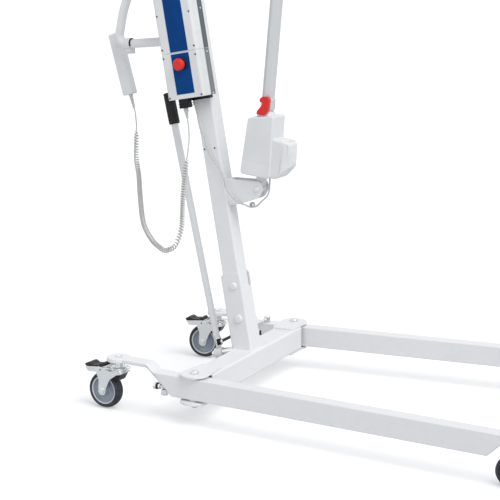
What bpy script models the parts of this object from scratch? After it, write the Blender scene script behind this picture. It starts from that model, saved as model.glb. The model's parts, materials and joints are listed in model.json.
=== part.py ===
"""Electric patient lift: a floor lift with two spreading legs, a leaning mast and an actuated boom.

Metres, +Z up. The legs open towards -Y, the push handle is at +Y, and the control box with its
battery is on the -X side. Everything is placed from the point on the floor midway between the two
leg pivots; at the end the whole lift is shifted so that its box is centred on the origin.
"""
import math

import bmesh
import bpy
import numpy as np
from mathutils import Matrix, Vector

# Fits
SEAT = 0.0003              # gap between two pieces that touch
RUNNING = 0.0003           # radial gap of a shaft in its bore
WELD = 0.0005              # how far one welded shape runs into the next

# Legs: heights, widths and reaches from the pivot
PIVOT_X = 0.305
LEG_SPREAD = math.radians(4.73)
LEG_WIDTH = 0.041
LEG_BOTTOM = 0.070
LEG_TOP = 0.128
LEG_WALL = 0.003
NOSE_CUT_START = 0.825
NOSE_BOTTOM = 0.106
NOSE_REACH = 0.905
TAIL_REACH = 0.244
TAIL_TOP = 0.1475
TAIL_THICK = 0.011
TAIL_HEEL = 0.062
TAIL_KNEE = 0.134
PAD_RADIUS = 0.032
PAD_PROUD = 0.0002         # how far the round ends stand out of the leg's flats

# Cross beam and its ears
EAR_GAP = 0.0045
EAR_THICK = 0.006
EAR_RADIUS = 0.038
EAR_INBOARD = 0.215
BEAM_FRONT = -0.038
BEAM_REAR = 0.030
BEAM_HALF = 0.276
BEAM_WALL = 0.004
BEAM_TOP = LEG_TOP + EAR_GAP
BEAM_BOTTOM = LEG_BOTTOM - EAR_GAP
PIVOT_BOLT = 0.008

# Mast, its foot socket and its head
MAST_Y = 0.0023
MAST_LEAN = math.radians(9.9)
MAST_SIDE = 0.052
MAST_WALL = 0.0025
MAST_START = 0.005
MAST_LENGTH = 1.215
FOOT_WALL = 0.005
FOOT_SIDE = MAST_SIDE + 2 * FOOT_WALL
FOOT_CHEEK = 0.213
FOOT_PLATE = 0.170
FOOT_BOLT_LOW = 0.088
FOOT_BOLT_HIGH = 0.180
FOOT_BOLT_W = -0.006
FOOT_BOLT = 0.005
HINGE_W = -0.0093
HINGE_RISE = 0.0647
HINGE_BOLT = 0.007
HEAD_SKIRT = 0.045

# Rear casters
REAR_WHEEL = 0.050
REAR_WIDTH = 0.032
REAR_TRAIL = 0.044
RIM_RADIUS = 0.0385
AXLE = 0.006
FORK_GAP = 0.036
FORK_PLATE = 0.003
CROWN_TOP = 0.108
BEARING_RADIUS = 0.023
PEDAL_AXIS_TRAIL = 0.031
PEDAL_AXIS_Z = 0.113
PEDAL_PIN = 0.003

# Front casters
FRONT_WHEEL = 0.0375
FRONT_WIDTH = 0.026
FRONT_TRAIL = 0.026

# Lever that spreads the legs
LEVER_Y = 0.087
LEVER_Z = 0.107
LEVER_LEAN = math.radians(15.2)
LEVER_TILT = math.radians(5.04)
LEVER_HUB = 0.015
LEVER_HUB_HALF = 0.012
LEVER_STUD = 0.006
LEVER_TUBE = 0.0105
ROCKER_UP = 0.030
ROCKER_DOWN = 0.0337
ROCKER_HALF = 0.003
ROD_START = 0.044
GRIP_START = 0.655
GRIP_END = 0.770
TIE_UP_REACH = 0.085
TIE_DOWN_REACH = 0.095
TIE_UP_Z = 0.1365
TIE_DOWN_Z = 0.0735
TIE_PIN = 0.004
TIE_EYE = 0.009
TIE_EYE_HALF = 0.0045
TIE_ROD = 0.004
BALL = 0.0045
BALL_STEM = 0.003
BALL_ROOM = 0.0027

# Push handle
HANDLE_RADIUS = 0.0125
HANDLE_LOW = (0.150, 0.979)
HANDLE_CORNER = (0.4045, 0.9575)
HANDLE_SHOULDER = (0.362, 1.171)
HANDLE_HIGH = (0.190, 1.2476)

# Control unit, battery and their rail, on the mast's -X side
BOX_NEAR = -0.098
BOX_FAR = -0.0575
BOX_REAR = 0.060
BOX_FRONT = -0.046
CONTROL_FROM = 0.708
CONTROL_TO = 0.830
BATTERY_FROM = 0.8325
BATTERY_TO = 1.066
RAIL_INSET = 0.002
GRIP_INSET = 0.018
GRIP_RISE = 0.036
GRIP_RADIUS = 0.0075
STOP_W = 0.004
STOP_T = 0.800
STOP_CAP = 0.0165
STOP_STEM = 0.005
STOP_RING = 0.003
STOP_TRAVEL = 0.004

# Sockets and plugs under the box
SOCKET_X = -0.078
SOCKET_W = 0.027
SOCKET_DEEP = 0.025
PLUG_LENGTH = 0.028
CABLE_SOCKET_X = -0.045
CABLE_SOCKET_W = 0.013
CABLE_SOCKET_DEEP = 0.008
CABLE_PLUG_LENGTH = 0.038

# Actuator
PIN_Y = -0.041
PIN_Z = 0.585
PIN_RADIUS = 0.005
TUBE_RADIUS = 0.017
TUBE_FROM = 0.152
TUBE_TO = 0.550
ROD_RADIUS = 0.010
ROD_OVERLAP = 0.117
HOUSING_HALF = 0.038
COLLAR_RADIUS = 0.0195
COLLAR_FROM = 0.216
COLLAR_TO = 0.246
BRACKET_PLATE = 0.004
BRACKET_HALF = 0.022
LUG_HALF = 0.0165
LUG_RADIUS = 0.011
EYE_RADIUS = 0.013
EYE_HALF = 0.010
GLAND_W = -0.0245
GLAND_T = 0.032
GLAND_ROOM = 0.0009
GLAND_RADIUS = 0.0055

# Boom and spreader bar
BOOM_RISE = math.radians(15)
BOOM_LENGTH = 0.860
BOOM_HIGH = 0.050
BOOM_WIDE = 0.044
BOOM_WALL = 0.003
BOOM_HUB = 0.022
NOSE_LUG = 0.052
LIFT_REACH = 0.330
LIFT_DROP = 0.050
LIFT_CHEEK = 0.055
LIFT_GAP = 0.0125
SWING_RADIUS = 0.006
SWIVEL_DROP = 0.110
SPREADER_HALF = 0.200
SPREADER_DROP = 0.035
SPREADER_FLAT = 0.060
SPREADER_BEND = 0.150
SPREADER_TUBE = 0.010
HOOK_WIRE = 0.005

# Handset, hung on the far side of the handle's lower tube
HANDSET_X = 0.0315
HANDSET_FOOT = (0.385, 0.8165)
HANDSET_LEAN = math.radians(15.65)
HANDSET_LONG = 0.176
HANDSET_WIDE = 0.038
HANDSET_THICK = 0.030
RELIEF_LENGTH = 0.040
BUTTON_RADIUS = 0.009
BUTTON_TRAVEL = 0.0015
HOOK_INNER = 0.0131
HOOK_OUTER = 0.0162
HOOK_LONG = 0.022
HOOK_DEEP = 0.036
HOOK_Y = 0.3605

# Cords
LEAD_RADIUS = 0.0022
CURL_WIRE = 0.0018
CURL_RADIUS = 0.0048
CURL_COUNT = 60
CURL_POINTS = 8
CABLE_RADIUS = 0.0027
CORD_STRAIGHT = 0.012

# Finishes: colour, roughness, metallic
GREY_PAINT = ((0.76, 0.77, 0.78), 0.42, 0.0)
LIGHT_PLASTIC = ((0.80, 0.81, 0.81), 0.45, 0.0)
DARK_PLASTIC = ((0.10, 0.12, 0.14), 0.50, 0.0)
BLACK_PLASTIC = ((0.015, 0.015, 0.017), 0.45, 0.0)
ZINC = ((0.62, 0.63, 0.64), 0.32, 1.0)
STEEL = ((0.66, 0.66, 0.67), 0.25, 1.0)
RIM_PLASTIC = ((0.30, 0.34, 0.40), 0.45, 0.0)
TYRE_RUBBER = ((0.07, 0.07, 0.09), 0.65, 0.0)
RED_PLASTIC = ((0.72, 0.04, 0.03), 0.40, 0.0)
CORD_GREY = ((0.52, 0.53, 0.50), 0.55, 0.0)

SEGMENTS = 12
SMALL_SEGMENTS = 8
WHEEL_STEPS = 16
TYRE_STEPS = 24
TUBE_STEPS = 14
FACET_RADIUS = 0.0045


def new_collection(name):
    """Add a collection to the scene."""
    made = bpy.data.collections.new(name)
    bpy.context.scene.collection.children.link(made)
    return made


def new_object(name, data):
    """Put data in the scene as a loose shape, not yet a sub-part."""
    made = bpy.data.objects.new(name, data)
    SHAPES.objects.link(made)
    return made


def shape_from(name, bm, matrix=None):
    """Turn a bmesh into a shape, after an optional move."""
    if matrix is not None:
        bmesh.ops.transform(bm, matrix=matrix, verts=bm.verts)
    mesh = bpy.data.meshes.new(name)
    bm.to_mesh(mesh)
    bm.free()
    return new_object(name, mesh)


def box(name, low, high):
    """A box between two corners."""
    bm = bmesh.new()
    bmesh.ops.create_cube(bm, size=1.0)
    size = Vector(high) - Vector(low)
    bmesh.ops.scale(bm, vec=size, verts=bm.verts)
    bmesh.ops.translate(bm, vec=(Vector(high) + Vector(low)) / 2, verts=bm.verts)
    return shape_from(name, bm)


def rod(name, start, end, radius, end_radius=None, segments=SEGMENTS):
    """A cylinder or a cone between two points."""
    start, end = Vector(start), Vector(end)
    way = end - start
    bm = bmesh.new()
    bmesh.ops.create_cone(bm, cap_ends=True, segments=segments, radius1=radius,
                          radius2=radius if end_radius is None else end_radius, depth=way.length)
    turn = Vector((0, 0, 1)).rotation_difference(way).to_matrix().to_4x4()
    return shape_from(name, bm, Matrix.Translation((start + end) / 2) @ turn)


def ball(name, centre, radius):
    """A ball."""
    bm = bmesh.new()
    bmesh.ops.create_uvsphere(bm, u_segments=8, v_segments=5, radius=radius)
    return shape_from(name, bm, Matrix.Translation(centre))


def turned(name, profile, steps=SEGMENTS, matrix=None):
    """A shape turned about Z from its (radius, height) profile, outer side from top to bottom."""
    ring = profile[0] == profile[-1]
    points = profile[:-1] if ring else profile
    edges = [(i, i + 1) for i in range(len(points) - 1)]
    if ring:
        edges.append((len(points) - 1, 0))
    mesh = bpy.data.meshes.new(name)
    mesh.from_pydata([(radius, 0.0, height) for radius, height in points], edges, [])
    shape = new_object(name, mesh)
    turn = shape.modifiers.new("Turn", "SCREW")
    turn.steps = steps
    turn.render_steps = steps
    turn.use_merge_vertices = True
    turn.merge_threshold = 0.00005
    turn.use_smooth_shade = True
    if matrix is not None:
        shape = as_mesh(shape)
        shape.data.transform(matrix)
    return shape


def as_mesh(shape):
    """Replace a curve or modified shape by its welded mesh."""
    name = shape.name
    bpy.context.view_layer.update()
    evaluated = shape.evaluated_get(bpy.context.evaluated_depsgraph_get())
    mesh = bpy.data.meshes.new_from_object(evaluated)
    bpy.data.objects.remove(shape, do_unlink=True)
    bm = bmesh.new()
    bm.from_mesh(mesh)
    bmesh.ops.remove_doubles(bm, verts=bm.verts, dist=0.00001)
    bmesh.ops.recalc_face_normals(bm, faces=bm.faces)
    bm.to_mesh(mesh)
    bm.free()
    return new_object(name, mesh)


def round_corners(corners, steps=2):
    """A closed loop from (u, v, radius) corners, each rounded to its radius, the smallest by one facet."""
    loop = []
    for i, (u, v, radius) in enumerate(corners):
        point = Vector((u, v))
        parts = steps if radius > FACET_RADIUS else 1
        if radius == 0:
            loop.append(point)
            continue
        before = (Vector(corners[i - 1][:2]) - point).normalized()
        after = (Vector(corners[(i + 1) % len(corners)][:2]) - point).normalized()
        half = before.angle(after) / 2
        centre = point + (before + after).normalized() * (radius / math.sin(half))
        first = point + before * (radius / math.tan(half)) - centre
        last = point + after * (radius / math.tan(half)) - centre
        sweep = first.angle_signed(last)
        for k in range(parts + 1):
            loop.append(centre + Matrix.Rotation(-sweep * k / parts, 2) @ first)
    return [(p[0], p[1]) for p in loop]


def circle(radius, centre=(0.0, 0.0), steps=SEGMENTS):
    """A closed round loop."""
    turn = 2 * math.pi / steps
    return [(centre[0] + radius * math.cos(i * turn), centre[1] + radius * math.sin(i * turn))
            for i in range(steps)]


def bore_for(shaft, segments=SMALL_SEGMENTS):
    """Radius of a faceted bore whose flats clear a round shaft."""
    return (shaft + RUNNING) / math.cos(math.pi / segments)


def square(side, radius=0.0, steps=2):
    """A centred square loop with rounded corners."""
    half = side / 2
    return round_corners([(-half, -half, radius), (half, -half, radius), (half, half, radius),
                          (-half, half, radius)], steps)


PLANES = {
    "XY": Matrix(((1, 0, 0, 0), (0, 1, 0, 0), (0, 0, 1, 0), (0, 0, 0, 1))),
    "YZ": Matrix(((0, 0, 1, 0), (1, 0, 0, 0), (0, 1, 0, 0), (0, 0, 0, 1))),
    "XZ": Matrix(((1, 0, 0, 0), (0, 0, -1, 0), (0, 1, 0, 0), (0, 0, 0, 1))),
}


def plate(name, loops, plane, low, high, edge=0.0, edge_steps=2):
    """A flat outline in a plane, thickened between two heights, with its edges rounded.

    The heights are measured along +Z, +X or +Y for the planes XY, YZ and XZ.
    """
    curve = bpy.data.curves.new(name, "CURVE")
    curve.dimensions = "2D"
    curve.fill_mode = "BOTH"
    curve.extrude = (high - low) / 2
    for loop in loops:
        spline = curve.splines.new("POLY")
        spline.points.add(len(loop) - 1)
        for point, (u, v) in zip(spline.points, loop):
            point.co = (u, v, 0, 1)
        spline.use_cyclic_u = True
    shape = as_mesh(new_object(name, curve))
    middle = (high + low) / 2
    shape.data.transform(PLANES[plane] @ Matrix.Translation((0, 0, -middle if plane == "XZ" else middle)))
    bm = bmesh.new()
    bm.from_mesh(shape.data)
    bmesh.ops.dissolve_limit(bm, angle_limit=math.radians(0.5), verts=bm.verts, edges=bm.edges)
    if edge > 0:
        sharp = [e for e in bm.edges if len(e.link_faces) == 2 and e.calc_face_angle() > math.radians(60)]
        bmesh.ops.bevel(bm, geom=sharp, offset=edge, segments=edge_steps, affect="EDGES", profile=0.5)
    bm.to_mesh(shape.data)
    bm.free()
    return shape


def tube(name, points, radius, sides=1):
    """A round tube along points, with closed ends."""
    curve = bpy.data.curves.new(name, "CURVE")
    curve.dimensions = "3D"
    curve.bevel_depth = radius
    curve.bevel_resolution = sides
    curve.use_fill_caps = True
    spline = curve.splines.new("POLY")
    spline.points.add(len(points) - 1)
    for point, place in zip(spline.points, points):
        point.co = (*place, 1)
    return as_mesh(new_object(name, curve))


def bend(points, radii, steps=6):
    """A path through points whose inner corners are rounded to radii."""
    path = [Vector(points[0])]
    for before, point, after, radius in zip(points, points[1:], points[2:], radii):
        point = Vector(point)
        back = (Vector(before) - point).normalized()
        on = (Vector(after) - point).normalized()
        half = back.angle(on) / 2
        centre = point + (back + on).normalized() * (radius / math.sin(half))
        first = point + back * (radius / math.tan(half)) - centre
        last = point + on * (radius / math.tan(half)) - centre
        axis = first.cross(last)
        sweep = first.angle(last)
        path += [centre + Matrix.Rotation(sweep * k / steps, 3, axis) @ first for k in range(steps + 1)]
    path.append(Vector(points[-1]))
    return path


def combine(piece, shape, operation):
    """Add a shape to a piece, cut it out or keep only what lies inside it."""
    shape.parent = piece
    shape.hide_render = True
    shape.display_type = "WIRE"
    step = piece.modifiers.new(f"{operation.title()} {len(piece.modifiers)}", "BOOLEAN")
    step.operation = operation
    step.solver = "EXACT"
    step.object = shape


def join(piece, *shapes):
    """Weld shapes to a piece."""
    for shape in shapes:
        combine(piece, shape, "UNION")


def cut(piece, *shapes):
    """Cut shapes out of a piece."""
    for shape in shapes:
        combine(piece, shape, "DIFFERENCE")


def paint(name, finish):
    """A sub-part's own material."""
    colour, roughness, metallic = finish
    made = bpy.data.materials.new(f"{name} finish")
    made.use_nodes = True
    shader = made.node_tree.nodes["Principled BSDF"]
    shader.inputs["Base Color"].default_value = (*colour, 1.0)
    shader.inputs["Roughness"].default_value = roughness
    shader.inputs["Metallic"].default_value = metallic
    return made


def sub_part(name, shape, finish, frame):
    """Make a shape a named sub-part of the lift, placed by its frame."""
    SHAPES.objects.unlink(shape)
    LIFT.objects.link(shape)
    shape.name = name
    shape.data.name = name
    shape.data.materials.clear()
    shape.data.materials.append(paint(name, finish))
    shape.data.shade_smooth()
    shape.data.set_sharp_from_angle(angle=math.radians(35))
    shape.parent = frame
    return shape


def frame_at(name, parent, location, rotation=(0.0, 0.0, 0.0)):
    """An empty that places the pieces of one body, on the body's joint axis."""
    made = bpy.data.objects.new(name, None)
    LIFT.objects.link(made)
    made.parent = parent
    made.location = location
    made.rotation_euler = rotation
    return made


def hexagon(across, centre=(0.0, 0.0)):
    """A hexagonal loop of a width across its flats."""
    reach = across / math.sqrt(3)
    return [(centre[0] + reach * math.cos(math.radians(60 * i)),
             centre[1] + reach * math.sin(math.radians(60 * i))) for i in range(6)]


def place(frame, point):
    """A point of a frame, seen from the lift's own frame."""
    bpy.context.view_layer.update()
    return ROOT.matrix_world.inverted() @ frame.matrix_world @ Vector(point)


def make_cross_beam():
    """Cross beam: a rectangular tube with two ears at each end that fork the legs."""
    outer = round_corners([(BEAM_FRONT, BEAM_BOTTOM, 0.006), (BEAM_REAR, BEAM_BOTTOM, 0.006),
                           (BEAM_REAR, BEAM_TOP, 0.006), (BEAM_FRONT, BEAM_TOP, 0.006)])
    wall = BEAM_WALL
    inner = [(BEAM_FRONT + wall, BEAM_BOTTOM + wall), (BEAM_REAR - wall, BEAM_BOTTOM + wall),
             (BEAM_REAR - wall, BEAM_TOP - wall), (BEAM_FRONT + wall, BEAM_TOP - wall)]
    beam = sub_part("cross_beam", plate("cross_beam", [outer, inner], "YZ", -BEAM_HALF, BEAM_HALF),
                    GREY_PAINT, ROOT)
    outboard = PIVOT_X + EAR_RADIUS
    for side in (-1, 1):
        corners = [(side * EAR_INBOARD, BEAM_FRONT + 0.004, 0), (side * PIVOT_X, -EAR_RADIUS, 0),
                   (side * outboard, -EAR_RADIUS, EAR_RADIUS - 0.0001),
                   (side * outboard, EAR_RADIUS, EAR_RADIUS - 0.0001),
                   (side * PIVOT_X, EAR_RADIUS, 0), (side * EAR_INBOARD, BEAM_REAR - 0.003, 0)]
        ear = round_corners(corners, 3)
        for low, high in ((BEAM_TOP, BEAM_TOP + EAR_THICK), (BEAM_BOTTOM - EAR_THICK, BEAM_BOTTOM)):
            bore = circle(PIVOT_BOLT + RUNNING, (side * PIVOT_X, 0.0), SMALL_SEGMENTS)
            sink_low = WELD if low == BEAM_TOP else 0.0
            sink_high = WELD if high == BEAM_BOTTOM else 0.0
            join(beam, plate("ear", [ear, bore], "XY", low - sink_low, high + sink_high))


def make_pivot_bolt(side_name, side):
    """Pivot bolt with its washers and its nut, standing in the ears and the leg."""
    profile = [(0, BEAM_TOP + EAR_THICK + 0.0065), (0.0105, BEAM_TOP + EAR_THICK + 0.0065),
               (0.012, BEAM_TOP + EAR_THICK + SEAT), (PIVOT_BOLT, BEAM_TOP + EAR_THICK + SEAT)]
    for low, high in ((LEG_TOP, BEAM_TOP - WELD), (BEAM_BOTTOM + WELD, LEG_BOTTOM)):
        profile += [(PIVOT_BOLT, high - SEAT), (0.017, high - SEAT),
                    (0.017, low + SEAT), (PIVOT_BOLT, low + SEAT)]
    nut_top = BEAM_BOTTOM - EAR_THICK - SEAT
    profile += [(PIVOT_BOLT, nut_top - 0.013), (0, nut_top - 0.013)]
    name = f"pivot_bolt_{side_name}"
    bolt = sub_part(name, turned(name, profile, SMALL_SEGMENTS), STEEL, ROOT)
    bolt.location = (side * PIVOT_X, 0, 0)
    join(bolt, plate("nut", [hexagon(0.024)], "XY", nut_top - 0.009, nut_top))


def make_leg(side_name, side):
    """Leg: a rectangular tube with a chamfered nose and a raised flat tail for the rear caster."""
    frame = frame_at(f"leg pivot {side_name}", ROOT, (side * PIVOT_X, 0, 0), (0, 0, side * LEG_SPREAD))
    nose_cut = NOSE_CUT_START + (NOSE_BOTTOM - LEG_BOTTOM)
    corners = [(TAIL_HEEL, LEG_BOTTOM, 0), (-NOSE_CUT_START, LEG_BOTTOM, 0.004),
               (-nose_cut, NOSE_BOTTOM, 0.004), (-NOSE_REACH, NOSE_BOTTOM, 0), (-NOSE_REACH, LEG_TOP, 0),
               (TAIL_KNEE - 0.015, LEG_TOP, 0.006), (TAIL_KNEE + 0.007, TAIL_TOP, 0.008),
               (TAIL_REACH, TAIL_TOP, 0), (TAIL_REACH, TAIL_TOP - TAIL_THICK, 0),
               (TAIL_KNEE, TAIL_TOP - TAIL_THICK, 0.006)]
    half = LEG_WIDTH / 2
    name = f"leg_{side_name}"
    shape = plate(name, [round_corners(corners)], "YZ", -half, half)
    leg = sub_part(name, shape, GREY_PAINT, frame)
    proud = PAD_PROUD
    join(leg, rod("pad", (0, TAIL_REACH, TAIL_TOP - TAIL_THICK - proud), (0, TAIL_REACH, TAIL_TOP + proud),
                  PAD_RADIUS, segments=18),
         rod("nose", (0, -NOSE_REACH, NOSE_BOTTOM - proud), (0, -NOSE_REACH, LEG_TOP + proud), half))
    inside = half - LEG_WALL
    cut(leg, box("hollow", (-inside, -NOSE_CUT_START, LEG_BOTTOM + LEG_WALL),
                 (inside, TAIL_HEEL - LEG_WALL - 0.008, LEG_TOP - LEG_WALL)),
        rod("pivot bore", (0, 0, LEG_BOTTOM - 0.01), (0, 0, LEG_TOP + 0.01), bore_for(PIVOT_BOLT),
            segments=SMALL_SEGMENTS),
        rod("tail bore", (0, TAIL_REACH, 0.12), (0, TAIL_REACH, 0.16), bore_for(AXLE),
            segments=SMALL_SEGMENTS),
        rod("nose bore", (0, -NOSE_REACH, 0.09), (0, -NOSE_REACH, 0.14), bore_for(AXLE),
            segments=SMALL_SEGMENTS))
    if side > 0:
        foot, reach, height = LEG_TOP - WELD, TIE_UP_REACH, TIE_UP_Z
    else:
        foot, reach, height = LEG_BOTTOM + 0.035, TIE_DOWN_REACH, TIE_DOWN_Z
    join(leg, rod("ball stem", (0, reach, foot), (0, reach, height), BALL_STEM, segments=SMALL_SEGMENTS),
         ball("ball", (0, reach, height), BALL))
    return frame


def make_leg_stop(side_name, side, frame):
    """Stop screw that stands out of the slanted end of a leg, with its lock nut."""
    x, z = side * 0.011, 0.090
    face = TAIL_HEEL + (z - LEG_BOTTOM) * (TAIL_KNEE - TAIL_HEEL) / (TAIL_TOP - TAIL_THICK - LEG_BOTTOM)
    name = f"leg_stop_{side_name}"
    screw = rod(name, (x, face + 0.005, z), (x, 0.113, z), 0.004, segments=SMALL_SEGMENTS)
    stop = sub_part(name, screw, ZINC, frame)
    join(stop, plate("head", [hexagon(0.017, (x, z))], "XZ", 0.1105, 0.121),
         rod("lock nut", (x, 0.100, z), (x, 0.107, z), 0.007, segments=SMALL_SEGMENTS))


def make_fork(name, frame, wheel, trail, width, crown, bearing, under, stem_top, head_top, ears):
    """Caster fork: two cheeks and a crown, the swivel bearing, the stem and the axle, as one."""
    half = width / 2 + FORK_PLATE
    front = 0.024
    corners = [(-front, crown, 0.002), (-front, crown - 0.012, 0.004),
               (trail - 0.013, wheel + 0.006, 0.012), (trail - 0.011, wheel - 0.012, 0.0105),
               (trail + 0.012, wheel - 0.012, 0.0105), (trail + 0.014, wheel + 0.010, 0.010),
               (trail - 0.002, crown - 0.006, 0.004), (trail - 0.006, crown, 0.002)]
    if ears:
        corners[-2:] = [(trail + 0.004, crown - 0.010, 0.004),
                        (PEDAL_AXIS_TRAIL + 0.0075, PEDAL_AXIS_Z + 0.007, 0.006),
                        (PEDAL_AXIS_TRAIL - 0.0075, PEDAL_AXIS_Z + 0.007, 0.006),
                        (PEDAL_AXIS_TRAIL - 0.010, crown, 0.001)]
    shape = plate(name, [round_corners(corners)], "YZ", -half, half)
    fork = sub_part(name, shape, ZINC, frame)
    gap = width / 2
    cut(fork, box("wheel room", (-gap, -0.06, -0.01), (gap, trail + 0.06, crown - FORK_PLATE)))
    if ears:
        cut(fork, box("pedal room", (-gap, -0.06, crown), (gap, trail + 0.06, crown + 0.05)),
            rod("pedal bore", (-0.05, PEDAL_AXIS_TRAIL, PEDAL_AXIS_Z), (0.05, PEDAL_AXIS_TRAIL, PEDAL_AXIS_Z),
                bore_for(PEDAL_PIN), segments=SMALL_SEGMENTS))
    axle = [rod("axle", (-half - 0.001, trail, wheel), (half + 0.001, trail, wheel), AXLE,
                segments=SMALL_SEGMENTS)]
    for side in (-1, 1):
        axle.append(plate("axle head", [hexagon(0.016, (trail, wheel))], "YZ",
                          *sorted((side * (half - WELD), side * (half + 0.005)))))
    join(fork, *axle)
    profile = [(0, head_top), (0.0100, head_top), (0.0105, stem_top), (AXLE, stem_top),
               (AXLE, under), (0.011, under), (0.011, bearing),
               (BEARING_RADIUS - 0.005, bearing), (BEARING_RADIUS, bearing - 0.004),
               (BEARING_RADIUS, crown - WELD), (0, crown - WELD)]
    join(fork, turned("swivel bearing", profile, 10))
    return fork


def make_rear_caster(side_name, leg_frame):
    """Rear caster: braked swivel caster under the raised tail of a leg."""
    swivel = frame_at(f"rear swivel {side_name}", leg_frame, (0, TAIL_REACH, 0))
    head = TAIL_TOP + PAD_PROUD + SEAT
    under = TAIL_TOP - TAIL_THICK - PAD_PROUD - SEAT
    make_fork(f"rear_fork_{side_name}", swivel, REAR_WHEEL, REAR_TRAIL, FORK_GAP, CROWN_TOP, 0.121,
              under, head, head + 0.0035, True)
    axle = frame_at(f"rear axle {side_name}", swivel, (0, REAR_TRAIL, REAR_WHEEL), (0, math.pi / 2, 0))
    half = REAR_WIDTH / 2
    name = f"rear_rim_{side_name}"
    bore = bore_for(AXLE, WHEEL_STEPS)
    hub = FORK_GAP / 2 - 0.0008
    face = half - 0.003
    rim_profile = [(bore, hub), (0.012, hub), (0.013, face - 0.008), (RIM_RADIUS - 0.005, face - 0.006),
                   (RIM_RADIUS, face), (RIM_RADIUS, -face), (RIM_RADIUS - 0.005, -face + 0.006),
                   (0.013, -face + 0.008), (0.012, -hub), (bore, -hub), (bore, hub)]
    sub_part(name, turned(name, rim_profile, WHEEL_STEPS), RIM_PLASTIC, axle)
    name = f"rear_tyre_{side_name}"
    seat = bore_for(RIM_RADIUS, TYRE_STEPS)
    tread = [(seat, face), (REAR_WHEEL - 0.006, half - 0.001), (REAR_WHEEL, half - 0.009),
             (REAR_WHEEL, -half + 0.009), (REAR_WHEEL - 0.006, -half + 0.001), (seat, -face), (seat, face)]
    sub_part(name, turned(name, tread, TYRE_STEPS), TYRE_RUBBER, axle)
    make_pedal(side_name, swivel)


def make_pedal(side_name, swivel):
    """Brake pedal: a tread plate behind the wheel, with two arms round the bearing to a front pad."""
    hinge = frame_at(f"pedal hinge {side_name}", swivel, (0, PEDAL_AXIS_TRAIL, PEDAL_AXIS_Z))
    tip = 0.107 - PEDAL_AXIS_TRAIL
    toe = -0.034 - PEDAL_AXIS_TRAIL
    side_view = [(toe - 0.004, 0.001, 0.001), (toe - 0.003, 0.008, 0.002), (-0.010, 0.0095, 0.003),
                 (0.004, 0.0145, 0.004), (0.030, 0.0095, 0.004), (tip - 0.018, 0.004, 0.006),
                 (tip - 0.004, 0.0085, 0.003), (tip, 0.004, 0.003), (tip - 0.006, -0.003, 0.003),
                 (0.022, -0.0045, 0.003), (-0.006, -0.004, 0.002), (-0.012, 0.0015, 0.002)]
    outer = FORK_GAP / 2 + FORK_PLATE + 0.009
    name = f"brake_pedal_{side_name}"
    shape = plate(name, [round_corners(side_view, 2)], "YZ", -outer, outer)
    pedal = sub_part(name, shape, BLACK_PLASTIC, hinge)
    inside = FORK_GAP / 2 + FORK_PLATE + 0.0035
    room = toe + 0.006
    cut(pedal, plate("bearing room", [round_corners([(-inside, room, 0.006), (inside, room, 0.006),
                                                     (inside, 0.018, 0.004), (-inside, 0.018, 0.004)])],
                     "XY", -0.02, 0.03))
    corner = 0.030
    for side in (-1, 1):
        wedge = [(side * (outer + 0.01), 0.030, 0), (side * (outer + 0.01), tip + 0.01, 0),
                 (side * corner * 0.75, tip + 0.01, 0), (side * (outer + 0.0005), 0.032, 0)]
        cut(pedal, plate("pedal taper", [round_corners(wedge)], "XY", -0.02, 0.03))
    join(pedal, rod("pedal pin", (-outer + 0.003, 0, 0), (outer - 0.003, 0, 0), PEDAL_PIN,
                    segments=SMALL_SEGMENTS))


def make_front_caster(side_name, leg_frame):
    """Front caster: a small swivel caster under the nose of a leg."""
    swivel = frame_at(f"front swivel {side_name}", leg_frame, (0, -NOSE_REACH, 0))
    gap = FRONT_WIDTH + 0.004
    crown = 2 * FRONT_WHEEL + 0.0075
    head = LEG_TOP + PAD_PROUD + SEAT
    under = NOSE_BOTTOM - PAD_PROUD - SEAT
    make_fork(f"front_fork_{side_name}", swivel, FRONT_WHEEL, FRONT_TRAIL, gap, crown, crown + 0.012,
              under, head, head + 0.004, False)
    axle = frame_at(f"front axle {side_name}", swivel, (0, FRONT_TRAIL, FRONT_WHEEL), (0, math.pi / 2, 0))
    half = FRONT_WIDTH / 2
    hub = gap / 2 - 0.0008
    bore = bore_for(AXLE, WHEEL_STEPS)
    profile = [(bore, hub), (0.011, hub), (FRONT_WHEEL * 0.74, half - 0.005), (FRONT_WHEEL * 0.80, half),
               (FRONT_WHEEL, half - 0.005)]
    profile += [(radius, -height) for radius, height in reversed(profile)]
    profile.append(profile[0])
    name = f"front_wheel_{side_name}"
    sub_part(name, turned(name, profile, WHEEL_STEPS), TYRE_RUBBER, axle)


def make_mast_foot(mast):
    """Foot socket: a square tube on the beam whose side cheeks stand higher than its other walls."""
    hole = square(MAST_SIDE + 2 * SEAT)
    shape = plate("mast_foot", [square(FOOT_SIDE, 0.006), hole], "XY", -0.012, FOOT_CHEEK)
    foot = sub_part("mast_foot", shape, GREY_PAINT, mast)
    half = FOOT_SIDE / 2 + 0.001
    ground = box("beam top", (-0.1, -0.1, -0.1), (0.1, 0.1, 0.0))
    ground.rotation_euler = (MAST_LEAN, 0, 0)
    gap = MAST_SIDE / 2 - 0.001
    cut(foot, ground, box("open front and back", (-gap, -half - 0.01, FOOT_PLATE), (gap, half + 0.01, 0.3)))
    cheek = [(-half, -0.03, 0), (half, -0.03, 0), (half, FOOT_CHEEK + 0.0001, 0.012),
             (-half, FOOT_CHEEK + 0.0001, 0.012)]
    combine(foot, plate("cheek outline", [round_corners(cheek)], "YZ", -0.05, 0.05), "INTERSECT")
    for height in (FOOT_BOLT_LOW, FOOT_BOLT_HIGH):
        cut(foot, rod("bolt bore", (-0.05, FOOT_BOLT_W, height), (0.05, FOOT_BOLT_W, height),
                      FOOT_BOLT + RUNNING, segments=SMALL_SEGMENTS))


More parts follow.
